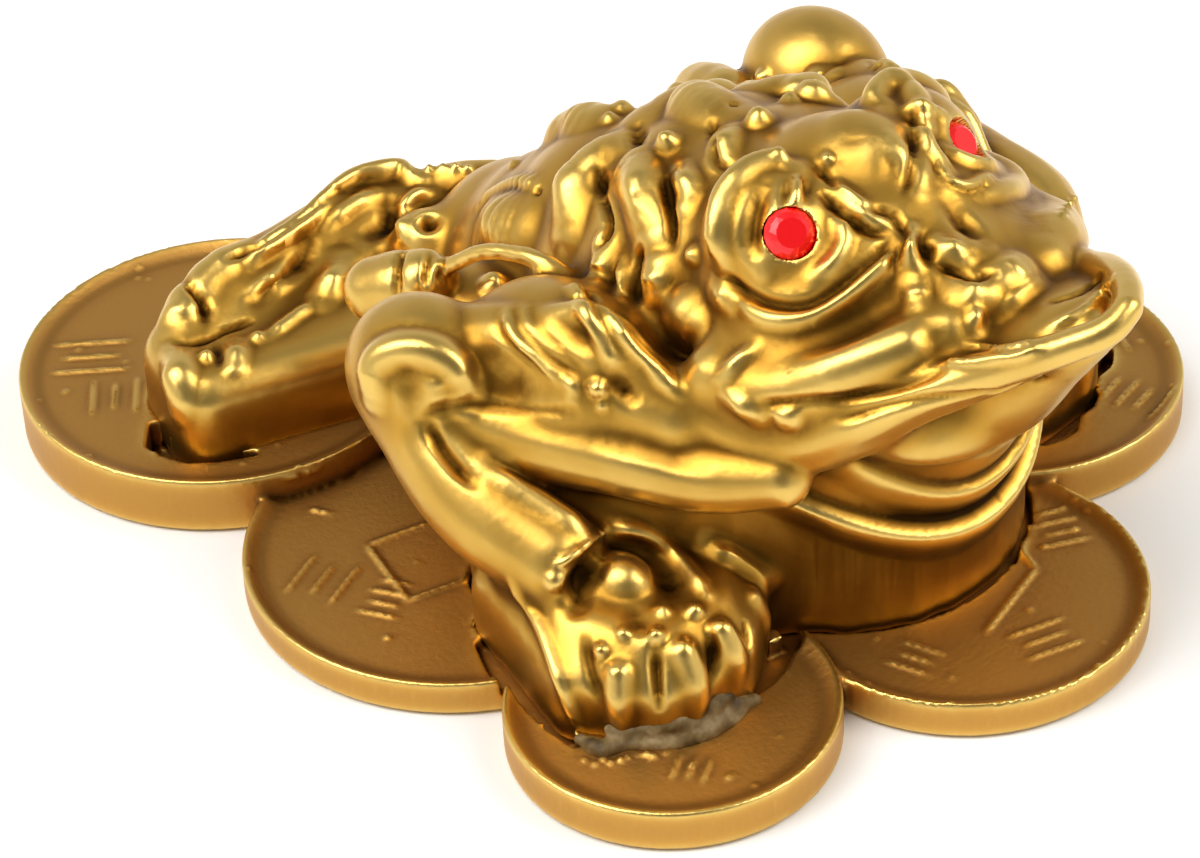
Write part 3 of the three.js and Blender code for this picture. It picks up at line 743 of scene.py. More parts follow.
# Rolls of loose skin that hang round the chest: where each crest lies in the middle, and
# how fast it climbs to the sides. A roll is cut back by its middling depth where none juts.
ROLL_CRESTS = [(6.9, 0.046), (9.4, 0.07), (11.6, 0.095), (14, 0.11)]
ROLL_DEPTH = 1.0
ROLL_MIDDLING = 0.4
ROLL_LEDGE = 0.6
ROLL_DROP = 2.2
ROLL_FADE = 1.2
ROLL_ROOT = 2
ROLLS_BACK = -15
ROLLS_BACK_FADE = 3
ROLLS_TOP = 15.5
ROLLS_TOP_FADE = 1.5


def smooth(share):
    """A share from 0 to 1 that starts and ends gently."""
    return share * share * (3 - 2 * share)


def chest_rolls(toad):
    """Each roll juts out under the crease above it, and draws in again lower down."""
    points, normals = skin_of(toad.data)
    x, y, z = points.T
    out = np.hypot(x - CHEST_CENTRE[0], y - CHEST_CENTRE[1])
    on_drum = np.clip((CHEST_RADIUS + ROLL_FADE - out) / ROLL_FADE, 0, 1)
    on_drum *= np.clip((ROLLS_BACK - y) / ROLLS_BACK_FADE, 0, 1)
    on_drum *= np.clip((ROLLS_TOP - z) / ROLLS_TOP_FADE, 0, 1) * (out > CHEST_RADIUS - ROLL_ROOT)
    rise = np.zeros(len(points))
    for crest, climb in ROLL_CRESTS:
        height = z - crest - climb * x ** 2
        below = np.clip(-height / ROLL_DROP, 0, 1)
        ledge = np.clip(1 - height / ROLL_LEDGE, 0, 1)
        roll = np.where(height > 0, smooth(ledge), 1 - smooth(below))
        rise = np.maximum(rise, roll * (height < ROLL_LEDGE))
    outward = np.stack([(x - CHEST_CENTRE[0]) / out, (y - CHEST_CENTRE[1]) / out, 0 * x], 1)
    move(toad, points + outward * (on_drum * (rise - ROLL_MIDDLING) * ROLL_DEPTH)[:, None])


# Lines of the carving: width, height, and the pixels of the photograph that each runs through.

EYE_LINES = {
    "eye socket": (0.9, -0.6, [(766, 184), (756, 206), (751, 235), (754, 262)]),
    "crease left": (0.5, -0.35, [(786, 182), (784, 200)]),
    "crease right": (0.5, -0.35, [(810, 182), (808, 198)]),
    "inner corner": (0.5, -0.4, [(822, 196), (845, 215), (868, 230), (888, 234)]),
    "lid groove": (0.5, -0.35, [(727, 277), (747, 293), (775, 304), (808, 303), (838, 287), (868, 262),
                                (892, 240)]),
    "dome hollow": (1.6, -0.35, [(850, 125), (855, 155)]),
    "dome groove": (0.5, -0.35, [(818, 168), (843, 190), (872, 207), (895, 214)]),
    "left eye groove": (0.45, -0.35, [(912, 100), (914, 130), (912, 165), (905, 190)]),
    "left ring groove": (0.35, -0.3, [(935, 165), (950, 182), (970, 190), (990, 182)]),
}

FACE_LINES = {
    "mouth line": (0.5, -0.3, [(760, 405), (810, 401), (850, 397), (880, 392), (905, 386), (925, 378),
                               (944, 369)]),
    "under lip": (0.5, -0.3, [(845, 419), (877, 408), (916, 400), (972, 395), (1010, 388), (1040, 378)]),
    "cheek slope": (1.8, -0.4, [(765, 345), (810, 335), (860, 318), (905, 290)]),
    "nose hollow": (1.0, -0.6, [(950, 205), (965, 222), (980, 238)]),
    "nose furrow": (0.5, -0.5, [(895, 218), (903, 230), (897, 248), (893, 268)]),
    "nostril": (0.6, -0.55, [(923, 238), (926, 248), (930, 260)]),
    "pad groove": (0.45, -0.45, [(937, 264), (955, 271), (975, 277), (992, 272)]),
    "lip hollow": (1.1, -0.45, [(930, 330), (935, 345)]),
    "near rim": (0.4, 0.4, [(944, 364), (970, 363), (1000, 359), (1020, 356), (1040, 347)]),
    "mouth ledge": (0.35, 0.3, [(967, 344), (1000, 349), (1037, 342)]),
    "leaf": (0.4, 0.3, [(1052, 325), (1080, 312), (1100, 294), (1113, 278)]),
    "leaf edge": (0.35, -0.3, [(1050, 302), (1080, 292), (1103, 276)]),
    "left curl": (0.35, 0.3, [(1062, 215), (1070, 203), (1078, 196)]),
    "left swirl": (0.5, -0.3, [(870, 62), (885, 68), (900, 76)]),
}

ARM_LINES = {
    "elbow dimple": (1.0, -0.35, [(407, 374), (409, 388), (411, 404)]),
    "upper arm edge": (0.6, -0.22, [(420, 419), (439, 409), (469, 405), (520, 408), (570, 412)]),
    "fold crease": (0.7, -0.6, [(428, 424), (438, 445), (455, 466), (472, 482)]),
    "arm hollow": (1.0, -0.25, [(600, 440), (650, 450), (700, 465)]),
    "shoulder hollow": (1.8, -0.6, [(492, 366), (515, 385), (540, 392)]),
    "shoulder hollow 2": (1.2, -0.3, [(572, 325), (590, 340)]),
    "shoulder groove 1": (0.5, -0.16, [(498, 312), (501, 332), (514, 350), (532, 366), (552, 388)]),
    "shoulder groove 2": (0.5, -0.16, [(514, 306), (519, 328), (530, 342), (552, 358), (575, 375)]),
    "shoulder groove 3": (0.45, -0.12, [(530, 304), (541, 330), (560, 350), (582, 370)]),
    "lip band groove": (0.45, -0.22, [(592, 295), (608, 325), (626, 352), (650, 378)]),
    "corner hollow": (0.8, -0.6, [(618, 385), (630, 398)]),
}

HAND_LINES = {
    "first gap": (0.5, -0.5, [(655, 650), (657, 680), (659, 706)]),
    "second gap": (0.45, -0.45, [(711, 640), (713, 662), (712, 688)]),
    "third gap": (0.35, -0.5, [(746, 625), (750, 650)]),
    "bracelet": (0.35, 0.4, [(557, 566), (578, 552), (596, 537), (606, 527)]),
    "wrist hollow": (1.1, -0.9, [(575, 605), (582, 580), (597, 555)]),
    "inner hollow": (1.1, -0.6, [(668, 576), (672, 592)]),
    "palm hollow": (0.9, -0.5, [(636, 615), (643, 628)]),
    "side groove": (0.5, -0.3, [(585, 640), (590, 670), (600, 700)]),
}

FOOT_LINES = {
    "slit": (0.5, -0.6, [(179, 273), (192, 288), (204, 303), (204, 318)]),
    "ridge groove": (0.45, -0.45, [(228, 258), (262, 242), (300, 217), (340, 188), (375, 175)]),
    "drop hollow": (0.9, -0.6, [(255, 300), (272, 285), (300, 262), (310, 245)]),
    "knob groove": (0.4, -0.4, [(175, 342), (200, 342), (225, 330), (250, 322)]),
    "toe groove": (0.4, -0.4, [(216, 345), (220, 365)]),
    "bend hollow": (1.0, -0.7, [(388, 205), (388, 222), (372, 235)]),
    "hip pit": (0.9, -0.8, [(428, 222)]),
    "scroll ring 1": (0.4, -0.45, [(402, 250), (397, 270), (398, 292)]),
    "scroll ring 2": (0.35, -0.4, [(430, 252), (426, 272), (427, 288)]),
    "scroll ring 3": (0.3, -0.35, [(443, 256), (440, 272), (441, 284)]),
}

BACK_LINES = {
    "wart pit": (0.35, -0.4, [(734, 104)]),
    "pit 1": (0.35, -0.35, [(538, 192)]),
    "temple crease": (0.45, -0.45, [(714, 122), (711, 142), (715, 160), (728, 168)]),
    "hollow 1": (0.8, -0.6, [(636, 128), (638, 145)]),
    "hollow 2": (0.7, -0.6, [(600, 175), (602, 195)]),
    "lobe groove 1": (0.5, -0.6, [(600, 195), (608, 225), (598, 245)]),
    "lobe groove 2": (0.5, -0.5, [(665, 180), (670, 210), (672, 245)]),
    "lobe groove 3": (0.5, -0.5, [(640, 250), (636, 275), (638, 300)]),
}


# The coins.

RIM_WIDTH = 0.95
RIM_HEIGHT = 0.6
RIM_ROUNDING = 0.3
WEB_HEIGHT = 1.6
WEB_REACH = 0.12
RUMP_REST = (1, 12.4, 4.6)
SOCKET_CLEARANCE = 0.12
COINS = {
    "right flank": ((-15.5, -3.3), 23.6, 2.2, -25),
    "left flank": ((15.5, -3.3), 21.6, 2.2, 25),
    "front": ((-0.6, -25.3), 19.7, 2.35, 12),
    "left hand": ((14.7, -15.4), 19.3, 2.9, 35),
    "right hand": ((-17.6, -20.8), 17.3, 2.65, 20),
    "hind foot": ((-14.2, 17.2), 23, 3.55, -52),
}


FLAT = 0.9


def select_flat(piece, way):
    """Selects the faces of a piece in edit mode that look straight up (1) or down (-1)."""
    skin = bmesh.from_edit_mesh(piece.data)
    for face in skin.faces:
        face.select_set(way * face.normal.z > FLAT)
    bmesh.update_edit_mesh(piece.data)


def coin(centre, diameter, height):
    """A round-edged disc with a raised rim round its sunk field."""
    deselect()
    bpy.ops.mesh.primitive_cylinder_add(
        vertices=128, radius=diameter / 2 * MM, depth=height * MM, location=spot(*centre, height / 2))
    disc = join([bpy.context.object])
    bpy.ops.object.mode_set(mode="EDIT")
    select_flat(disc, 1)
    bpy.ops.mesh.inset(thickness=RIM_WIDTH * MM)
    bpy.ops.transform.translate(value=(0, 0, -RIM_HEIGHT * MM))
    bpy.ops.object.mode_set(mode="OBJECT")
    apply_modifier(disc, "BEVEL", width=RIM_ROUNDING * MM, segments=3, limit_method="ANGLE")
    return disc


def unite(piece, other):
    apply_modifier(piece, "BOOLEAN", operation="UNION", solver="MANIFOLD", object=other)
    bpy.data.objects.remove(other)


# Rows of plain strokes in place of the coins' characters: where each row's middle lies, the
# strokes' direction in degrees, how many there are, their length and their pitch.
STROKE_ROWS = [
    (-18.9, 23.2, -42, 3, 4.2, 1.3),
    (-20.4, 19.4, 48, 3, 3, 1.2),
    (-22.4, 0.3, 20, 3, 3.2, 1.3),
    (-21.2, -3.4, -65, 4, 2.2, 0.9),
    (-18.3, 5.4, -65, 2, 2.4, 1.2),
    (-18.6, -9.6, 25, 3, 2.2, 0.8),
    (6.6, -25.8, -30, 4, 2.6, 0.9),
    (-0.8, -31.2, -20, 3, 3.2, 1),
    (-6.4, -27.2, -75, 3, 2.4, 0.9),
    (17.6, -22, 10, 4, 2.8, 1),
    (20.4, -17.6, 60, 3, 2.4, 1),
    (22, -3, 90, 3, 3, 1.2),
    (17.6, 3.6, 25, 3, 3, 1.2),
    (-7.6, 22.2, 30, 3, 2.6, 1.1),
    (-20.4, -24.8, 30, 3, 1.8, 0.8),
]
SQUARES = {
    "right flank": [(-18.9, 0.6), (-20.6, -4.4), (-16.4, -5.8)],
    "right flank edge": [(-18.9, 0.6), (-15.2, -0.6)],
    "front": [(-2.4, -28.6), (3.2, -27.2), (4.4, -24.2)],
    "left flank": [(17, -4.5), (20, -6), (19.6, -9)],
}
STROKE_WIDTH = 0.25
STROKE_HEIGHT = 0.2
SQUARE_WIDTH = 0.32
EVERY_OTHER_SHORTER = 0.25

# Grains of sand that the mould left all over the coins, and a row of them before the glue:
# how many there are, and from what to what their width and their height go.
SPECKS = 110
SPECK_SIZE = (0.18, 0.34)
SPECK_HEIGHT = (0.08, 0.18)
SPECK_SEED = 8
GLUE_GRAINS = 14
GRAIN_SIZE = (0.2, 0.3)
GRAIN_HEIGHT = (0.15, 0.3)
GRAIN_SCATTER = 0.3
GRAIN_ROW = [(-23.4, -20.7, 2.1), (-20.6, -23.1, 2.1)]

# Ragged gaps that the mould left in the coins beside the toad: places and half widths.
GAPS = [
    [(-20.4, -9.8, 0.4), (-21.3, -12.1, 0.7), (-22.1, -14.9, 0.6), (-22.6, -17.2, 0.55),
     (-22.9, -19.2, 0.35)],
    [(-14.9, -23.1, 0.35), (-13.6, -22.6, 0.8), (-12.2, -22.7, 0.6), (-11.1, -21.9, 0.9), (-9.6, -21.9, 0.5),
     (-9.2, -20.6, 0.6)],
    [(-20.6, 15.6, 0.5), (-21.6, 14.2, 0.75), (-21.3, 12.4, 0.6), (-20.2, 10.9, 0.35), (-18.6, 9.8, 0.3)],
    [(11.4, -20.8, 0.5), (12.8, -20.9, 0.8), (14.4, -20.2, 0.6), (15.6, -20, 0.9), (17.2, -18.9, 0.6),
     (18.8, -18.7, 0.6), (20, -18.2, 0.3)],
    [(7.4, -22.6, 0.6), (5.9, -24.1, 0.45), (4.6, -24.3, 0.5), (2.9, -25.8, 0.3)],
]
GAP_SIDES = 5
GAP_TOP = 20


def stroke_lines():
    """The strokes and the squares as lines to chase: width, height and places on the bed."""
    lines = {}
    for row, (x, y, turn, count, length, pitch) in enumerate(STROKE_ROWS):
        along = Vector((math.cos(math.radians(turn)), math.sin(math.radians(turn)), 0))
        beside = Vector((-along.y, along.x, 0))
        for stroke in range(count):
            middle = Vector((x, y, 3)) + beside * pitch * (stroke - (count - 1) / 2)
            half = along * length / 2 * (1 - EVERY_OTHER_SHORTER * (stroke % 2))
            ends = [tuple(middle - half), tuple(middle + half)]
            lines[row, stroke] = (STROKE_WIDTH, STROKE_HEIGHT, ends)
    for name, corners in SQUARES.items():
        for corner, (start, end) in enumerate(zip(corners, corners[1:])):
            lines[name, corner] = (SQUARE_WIDTH, STROKE_HEIGHT, [(*start, 3), (*end, 3)])
    return lines


def speck_lines():
    """Grains of sand that the mould left on the coins."""
    chance = random.Random(SPECK_SEED)
    lines = {}
    for grain in range(GLUE_GRAINS):
        share = grain / (GLUE_GRAINS - 1)
        at = Vector(GRAIN_ROW[0]).lerp(Vector(GRAIN_ROW[1]), share)
        aside = chance.uniform(-GRAIN_SCATTER, GRAIN_SCATTER)
        at += Vector((aside, chance.uniform(-GRAIN_SCATTER, GRAIN_SCATTER), 0))
        lines["grain", grain] = (chance.uniform(*GRAIN_SIZE), chance.uniform(*GRAIN_HEIGHT), [tuple(at)])
    for speck in range(SPECKS):
        centre, diameter, height, _ = chance.choice(list(COINS.values()))
        out = diameter / 2 * math.sqrt(chance.random())
        turn = chance.uniform(0, 2 * math.pi)
        at = (centre[0] + out * math.cos(turn), centre[1] + out * math.sin(turn), height)
        lines[speck] = (chance.uniform(*SPECK_SIZE), chance.uniform(*SPECK_HEIGHT), [at])
    return lines


def gap(ends):
    """A ragged piece of a gap between two of its places. Each post is turned by where it stands."""
    posts = []
    for x, y, radius in ends:
        deselect()
        bpy.ops.mesh.primitive_cylinder_add(
            vertices=GAP_SIDES, radius=radius * MM, depth=GAP_TOP * MM,
            location=spot(x, y, BED_FLOOR + GAP_TOP / 2), rotation=(0, 0, 3 * x + y))
        posts.append(bpy.context.object)
    return hull(join(posts))


BED_GRAIN = 0.17
CUTTER_TOP = 20
FIELD_CUTTER = 5


def make_bed():
    web = [(*centre, diameter * WEB_REACH) for centre, diameter, _, _ in COINS.values()]
    bed = block([*web, RUMP_REST], 0, WEB_HEIGHT)[0]
    for centre, diameter, height, _ in COINS.values():
        field = (*centre, diameter / 2 - RIM_WIDTH)
        cut(bed, block([field], height - RIM_HEIGHT, height + FIELD_CUTTER))
        unite(bed, coin(centre, diameter, height))
    for outline in standing():
        cut(bed, block(outline, BED_FLOOR, CUTTER_TOP, SOCKET_CLEARANCE))
    for places in GAPS:
        for ends in zip(places, places[1:]):
            cut(bed, gap(ends))
    bed = melt([bed], BED_GRAIN, 1)
    bed.name = "coins_cast"
    chase(bed, stroke_lines())
    chase(bed, speck_lines())
    return bed


# The eye stones and the glue.

STONE_GIRDLE = 0.15
STONE_CROWN = [(0.34, 0.82), (0.22, 0.72)]
STONE_BACK = 0.6
STONE_POINT = 0.1
STONE_LIFT = 0.1


def make_stone(side):
    """A round cut stone: its pointed back lies in the seat, and a table crowns its facets."""
    way = stone_way(side)
    deselect()
    bpy.ops.mesh.primitive_cylinder_add(
        vertices=STONE_SIDES, radius=STONE_RADIUS * MM, depth=STONE_GIRDLE * MM)
    stone = bpy.context.object
    bpy.ops.object.mode_set(mode="EDIT")
    select_flat(stone, 1)
    half_step = math.pi / STONE_SIDES
    for rise, shrink in STONE_CROWN:
        bpy.ops.mesh.extrude_region_move(TRANSFORM_OT_translate={"value": (0, 0, rise * MM)})
        bpy.ops.transform.resize(value=(shrink, shrink, 1))
        bpy.ops.transform.rotate(value=half_step, orient_axis="Z", center_override=(0, 0, 0))
    select_flat(stone, -1)
    bpy.ops.mesh.extrude_region_move(TRANSFORM_OT_translate={"value": (0, 0, -STONE_BACK * MM)})
    bpy.ops.transform.resize(value=(STONE_POINT, STONE_POINT, 1))
    bpy.ops.mesh.select_all(action="SELECT")
    bpy.ops.mesh.quads_convert_to_tris()
    bpy.ops.mesh.normals_make_consistent(inside=False)
    bpy.ops.object.mode_set(mode="OBJECT")
    stone.location = spot(*(Vector(STONE_SEATS[side]) + way * STONE_LIFT))
    stone.rotation_euler = way.to_track_quat("Z", "Y").to_euler()
    stone = join([stone])
    stone.name = "cut_stone_right" if side == RIGHT else "cut_stone_left"
    return stone


# The glue's front edge, squeezed out before the right hand: x, y and radius, and its height.
GLUE_EDGE = [(-22.7, -19.3, 0.35), (-22.4, -20.6, 0.6), (-21.3, -21.1, 0.5), (-20.6, -21.9, 0.45),
             (-19.6, -22.8, 0.55), (-18.4, -23.4, 0.6), (-17, -23.5, 0.7), (-15.6, -23.4, 0.65),
             (-14.6, -23.7, 0.35)]
GLUE_HEIGHT = 2.15

# Where it climbs the wall of the hand behind that edge, and between the first two toes.
GLUE_CLIMB = [(-21.5, -20.4, 2.7, 0.4), (-20.4, -21.5, 2.6, 0.6), (-19.5, -22.4, 3.1, 0.55),
              (-18.2, -23, 2.6, 0.6), (-16.8, -23.1, 3.2, 0.6), (-15.6, -23, 2.6, 0.4)]
GLUE_GRAIN = 0.12
GLUE_LUMP = 0.9
GLUE_LUMP_HEIGHT = 0.35
GLUE_BITE = 0.02
GLUE_CUTTER = (12, -5)


def make_glue():
    """The bead of glue, cut off just under the field of the coin that it lies on."""
    edge = limb([(x, y, GLUE_HEIGHT, radius) for x, y, radius in GLUE_EDGE])
    bead = melt(edge + limb(GLUE_CLIMB), GLUE_GRAIN, 2)
    lumps = bpy.data.textures.new("glue lumps", "CLOUDS")
    lumps.noise_scale = GLUE_LUMP * MM
    apply_modifier(bead, "DISPLACE", texture=lumps, strength=GLUE_LUMP_HEIGHT * MM, mid_level=0.5)
    centre, _, height, _ = COINS["right hand"]
    reach, below = GLUE_CUTTER
    cut(bead, block([(*centre, reach)], below, height - RIM_HEIGHT - GLUE_BITE))
    bead.name = "glue_bead"
    return bead


def thin_out(piece, triangles):
    """Leaves at most this many triangles, with the most where the skin bends most."""
    count = sum(len(face.vertices) - 2 for face in piece.data.polygons)
    if count > triangles:
        apply_modifier(piece, "DECIMATE", ratio=triangles / count)


# Materials.

def colour(code):
    """An sRGB hex colour as linear light."""
    parts = [int(code[at:at + 2], 16) / 255 for at in (1, 3, 5)]
    return (*[part / 12.92 if part <= 0.04045 else ((part + 0.055) / 1.055) ** 2.4 for part in parts], 1)


def set_stops(elements, stops):
    """A ramp's stops: sRGB hex colours, or numbers as greys."""
    while len(elements) < len(stops):
        elements.new(0.5)
    for element, (place, value) in zip(elements, stops):
        element.position = place
        element.color = colour(value) if isinstance(value, str) else (value, value, value, 1)


def add(tree, kind, settings=None, **links):
    """Adds a node, with its settings and what feeds its sockets."""
    node = tree.nodes.new(kind)
    for name, value in (settings or {}).items():
        if name == "stops":
            set_stops(node.color_ramp.elements, value)
        elif name in node.inputs:
            node.inputs[name].default_value = value
        else:
            setattr(node, name, value)
    for name, source in links.items():
        tree.links.new(source, node.inputs[name.replace("_", " ")])
    return node


def new_material(name):
    material = bpy.data.materials.new(name)
    material.use_nodes = True
    tree = material.node_tree
    shader = tree.nodes["Principled BSDF"]
    return material, tree, shader


def tint_by_wear_and_shade(tree, shader, wear, tones, gloss):
    """Brass: brown and dull in hollows, from patina and painted shade, and on low walls, from painted shade;
    golden and smooth where it is rubbed.
    """
    for stops, socket in ((tones, "Base Color"), (gloss, "Roughness")):
        by_wear = add(tree, "ShaderNodeValToRGB", {"stops": stops}, Fac=wear)
        tree.links.new(by_wear.outputs["Color"], shader.inputs[socket])
    shader.inputs["Metallic"].default_value = 1


def roughen(tree, shader, place, size, detail, strength, depth):
    """The fine grain of a sand casting: its size and its depth in millimetres."""
    grain = add(tree, "ShaderNodeTexNoise", {"Scale": 1 / (size * MM), "Detail": detail}, Vector=place)
    settings = {"Strength": strength, "Distance": depth * MM}
    bump = add(tree, "ShaderNodeBump", settings, Height=grain.outputs["Fac"])
    tree.links.new(bump.outputs["Normal"], shader.inputs["Normal"])


# The dark end of the toad's tones is patina and painted shade in hollows and on low walls; the bright end is
# rubbed brass.
TOAD_TONES = [(0.18, "#2E1B04"), (0.4, "#7C5418"), (0.6, "#C4953C"), (0.85, "#E4BE66")]
TOAD_GLOSS = [(0.2, 0.55), (0.6, 0.36), (0.95, 0.28)]
TOAD_PATCH_SIZE = 4
TOAD_PATCH_SHARE = 0.16
TOAD_GRAIN_SIZE = 0.5
TOAD_GRAIN_DEPTH = 0.05
COIN_TONES = [(0.15, "#4A2E0A"), (0.45, "#B58440"), (0.6, "#CC9C4C"), (0.9, "#E6C26C")]
COIN_GLOSS = [(0.2, 0.55), (0.6, 0.45), (0.95, 0.3)]
COIN_GRAIN_SIZE = 0.35
COIN_GRAIN_DEPTH = 0.06


def cast_brass():
    """Cast brass, tumbled and lacquered: bright where it is rubbed, brown in patches elsewhere, and darkened
    by patina and painted shade in its hollows and by painted shade on its low walls.
    """
    material, tree, shader = new_material("cast brass, tumbled and lacquered")
    wear = add(tree, "ShaderNodeAttribute", {"attribute_name": "wear"}).outputs["Fac"]
    place = add(tree, "ShaderNodeTexCoord").outputs["Object"]
    patch_settings = {"Scale": 1 / (TOAD_PATCH_SIZE * MM), "Detail": 3}
    patches = add(tree, "ShaderNodeTexNoise", patch_settings, Vector=place)
    shade = add(tree, "ShaderNodeMath", {"operation": "MULTIPLY_ADD"})
    tree.links.new(patches.outputs["Fac"], shade.inputs[0])
    shade.inputs[1].default_value = TOAD_PATCH_SHARE
    tree.links.new(wear, shade.inputs[2])
    tint_by_wear_and_shade(tree, shader, shade.outputs[0], TOAD_TONES, TOAD_GLOSS)
    roughen(tree, shader, place, TOAD_GRAIN_SIZE, 4, 0.25, TOAD_GRAIN_DEPTH)
    return material


def coin_brass():
    """Cast brass, only rubbed: sandy and dull in the coins' fields, golden on their rims and strokes."""
    material, tree, shader = new_material("cast brass, rubbed")
    wear = add(tree, "ShaderNodeAttribute", {"attribute_name": "wear"}).outputs["Fac"]
    place = add(tree, "ShaderNodeTexCoord").outputs["Object"]
    tint_by_wear_and_shade(tree, shader, wear, COIN_TONES, COIN_GLOSS)
    roughen(tree, shader, place, COIN_GRAIN_SIZE, 5, 0.5, COIN_GRAIN_DEPTH)
    return material


def red_glass():
    """Cut glass over a foil back: red light comes back from the foil, partly as a painted glow, and white
    off the facets.
    """
    material, tree, shader = new_material("red glass, cut and foil-backed")
    shader.inputs["Base Color"].default_value = colour("#F80C12")
    shader.inputs["Metallic"].default_value = 0.45
    shader.inputs["Roughness"].default_value = 0.3
    shader.inputs["Coat Weight"].default_value = 0.6
    shader.inputs["Coat Roughness"].default_value = 0.08
    # Painted glow: the stone gives off a faint red light of its own, though it is no lamp.
    shader.inputs["Emission Color"].default_value = colour("#FF0A10")
    shader.inputs["Emission Strength"].default_value = 0.12
    return material


GLUE_TONES = [(0.3, "#3E2D12"), (0.5, "#6E5831"), (0.72, "#9C8660")]
GLUE_CLOUD_SIZE = 1.2


def grey_glue():
    """Epoxy glue, squeezed out and set: dull and a little cloudy, with some dirt in it."""
    material, tree, shader = new_material("epoxy glue, squeezed out")
    place = add(tree, "ShaderNodeTexCoord").outputs["Object"]
    cloud = add(tree, "ShaderNodeTexNoise", {"Scale": 1 / (GLUE_CLOUD_SIZE * MM), "Detail": 4}, Vector=place)
    tint = add(tree, "ShaderNodeValToRGB", {"stops": GLUE_TONES}, Fac=cloud.outputs["Fac"])
    tree.links.new(tint.outputs["Color"], shader.inputs["Base Color"])
    shader.inputs["Roughness"].default_value = 0.6
    shader.inputs["Specular IOR Level"].default_value = 0.3
    return material


# How rubbed the brass is, by how far it stands proud of the skin around it; the hollows that it darkens
# carry patina and, on the toad, painted shade. Each scale is how often that skin is eased, its share, and
# the height in millimetres that counts in full.
TOAD_WEAR_AND_SHADE = [(5, 0.3, 0.08), (40, 0.5, 0.3), (160, 0.3, 0.9)]
BED_WEAR = [(5, 0.5, 0.06), (40, 0.5, 0.2)]

# Upright walls under this height get painted shade, darker by this much on the toad.
TOAD_WALL_SHADE = 0.2
WALL_SHADE_TOP = 9.5
WALL_SHADE_FADE = 2
UPRIGHT = 0.35
UPRIGHT_FADE = 0.5


def mark_wear_and_shade(piece, scales, wall_shade):
    """Keeps on the skin how rubbed each point is, with painted shade: 0 in a deep recess (patina and painted
    shade) or low on an upright wall (painted shade), 1 on a ridge.
    """
    points, normals = skin_of(piece.data)
    edges = edges_of(piece.data)
    proud = np.zeros(len(points))
    soft = points
    done = 0
    # Points sunk below the eased skin darken: patina, and in the toad's broad hollows painted shade.
    for rounds, share, reach in scales:
        soft = eased(soft, edges, rounds - done)
        done = rounds
        proud += share * np.clip(((points - soft) * normals).sum(1) / reach, -1, 1)
    # Painted shade: upright walls low on the toad are darkened, as if in shadow.
    low = np.clip((WALL_SHADE_TOP - points[:, 2]) / WALL_SHADE_FADE, 0, 1)
    upright = np.clip((UPRIGHT - normals[:, 2]) / UPRIGHT_FADE, 0, 1)
    wear = 0.5 + 0.5 * proud - wall_shade * eased((low * upright)[:, None], edges, 10)[:, 0]
    wear = eased(wear[:, None], edges, 1)[:, 0]
    attribute = piece.data.attributes.new("wear", "FLOAT", "POINT")
    attribute.data.foreach_set("value", np.clip(wear, 0, 1))


def finish_piece(piece, material, node, flat=False):
    piece.data.materials.clear()
    piece.data.materials.append(material)
    make_active(piece)
    if flat:
        bpy.ops.object.shade_flat()
    else:
        bpy.ops.object.shade_smooth()
    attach(piece, "root")
    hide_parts(node)


FLOOR_SIZE = 3
FLOOR_DROP = 0.05


def add_floor():
    """Matt white card: it takes a soft shadow and no gloss."""
    deselect()
    bpy.ops.mesh.primitive_plane_add(size=FLOOR_SIZE, location=(0, 0, -FLOOR_DROP * MM))
    floor = bpy.context.object
    floor.name = "floor"
    material, _, shader = new_material("white card")
    shader.inputs["Base Color"].default_value = colour("#F4F4F2")
    shader.inputs["Roughness"].default_value = 0.9
    floor.data.materials.append(material)


LIGHT_DISTANCE = 0.6
LIGHT_AIM = Vector((0, 0, 0.01))
SOFTBOX_SIDE = 0.36

# Each softbox: its brightness, how far round to the camera's right it stands, and how high up,
# in degrees.
SOFTBOXES = {
    "overhead softbox": (3.6, -60, 70),
    "left softbox": (4.6, -74, 45),
    "right softbox": (4.6, 80, 45),
}


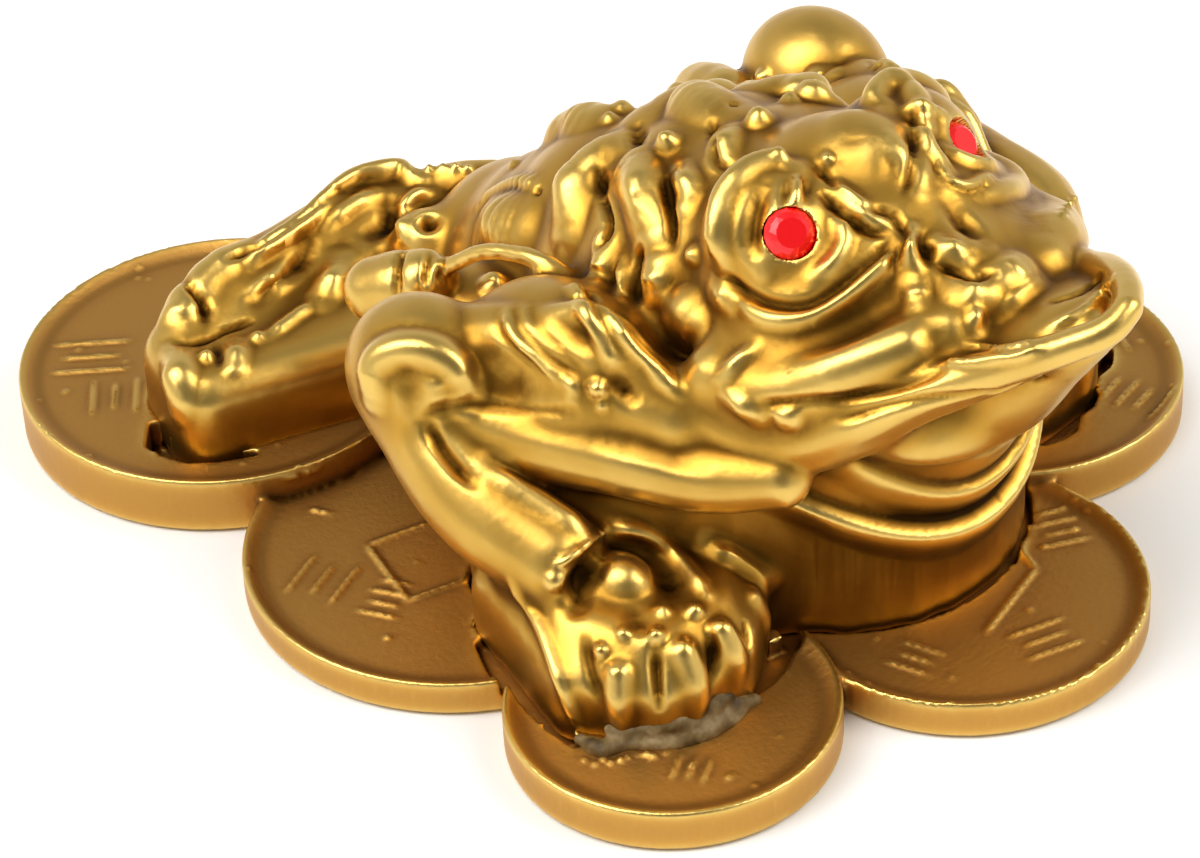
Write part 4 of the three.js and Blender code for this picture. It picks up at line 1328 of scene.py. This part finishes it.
def add_softbox(name, brightness, across, rise):
    flat = Vector((RIGHTWARD.x, RIGHTWARD.y, 0)).normalized()
    behind = Vector((FORWARD.x, FORWARD.y, 0)).normalized()
    turn = math.radians(across)
    climb = math.radians(rise)
    round_the_toad = flat * math.sin(turn) - behind * math.cos(turn)
    way = round_the_toad * math.cos(climb) + Vector((0, 0, math.sin(climb)))
    data = bpy.data.lights.new(name, "AREA")
    data.shape = "SQUARE"
    data.size = SOFTBOX_SIDE
    data.energy = brightness * math.pi * SOFTBOX_SIDE ** 2
    light = bpy.data.objects.new(name, data)
    bpy.context.collection.objects.link(light)
    light.location = LIGHT_AIM + way * LIGHT_DISTANCE
    light.rotation_euler = (-way).to_track_quat("-Z", "Y").to_euler()


def add_lights():
    for name, (brightness, across, rise) in SOFTBOXES.items():
        add_softbox(name, brightness, across, rise)
    bpy.context.scene.view_settings.view_transform = "Standard"


STUDIO_BY_HEIGHT = [(0, 0.75), (0.5, 0.65), (0.75, 0.4), (1, 0.3)]
STUDIO_BY_LENS = [(0.75, 1), (0.95, 0.3)]


def add_studio():
    """A pale studio, dim overhead and dark on the camera's side, as the room behind a lens is."""
    world = bpy.data.worlds.new("studio")
    bpy.context.scene.world = world
    world.use_nodes = True
    tree = world.node_tree
    way = add(tree, "ShaderNodeTexCoord").outputs["Generated"]
    up = add(tree, "ShaderNodeSeparateXYZ", Vector=way).outputs["Z"]
    front = add(tree, "ShaderNodeVectorMath", {"operation": "DOT_PRODUCT"}, Vector=way)
    front.inputs[1].default_value = -FORWARD
    height = add(tree, "ShaderNodeValToRGB", {"stops": STUDIO_BY_HEIGHT}, Fac=up)
    lens = add(tree, "ShaderNodeValToRGB", {"stops": STUDIO_BY_LENS}, Fac=front.outputs["Value"])
    grey = add(tree, "ShaderNodeVectorMath", {"operation": "MULTIPLY"})
    tree.links.new(height.outputs["Color"], grey.inputs[0])
    tree.links.new(lens.outputs["Color"], grey.inputs[1])
    tree.links.new(grey.outputs["Vector"], tree.nodes["Background"].inputs["Color"])


MOST_TRIANGLES = 194000

add_camera()
toad = make_toad()
mark_wear_and_shade(toad, TOAD_WEAR_AND_SHADE, TOAD_WALL_SHADE)
finish_piece(toad, cast_brass(), "toad")
bed = make_bed()
mark_wear_and_shade(bed, BED_WEAR, 0)
finish_piece(bed, coin_brass(), "coin_base")
thin_out(toad, MOST_TRIANGLES)
thin_out(bed, MOST_TRIANGLES)
glass = red_glass()
for side, node in ((RIGHT, "eye_stone_right"), (LEFT, "eye_stone_left")):
    finish_piece(make_stone(side), glass, node, flat=True)
finish_piece(make_glue(), grey_glue(), "adhesive_bead")
add_floor()
add_lights()
add_studio()
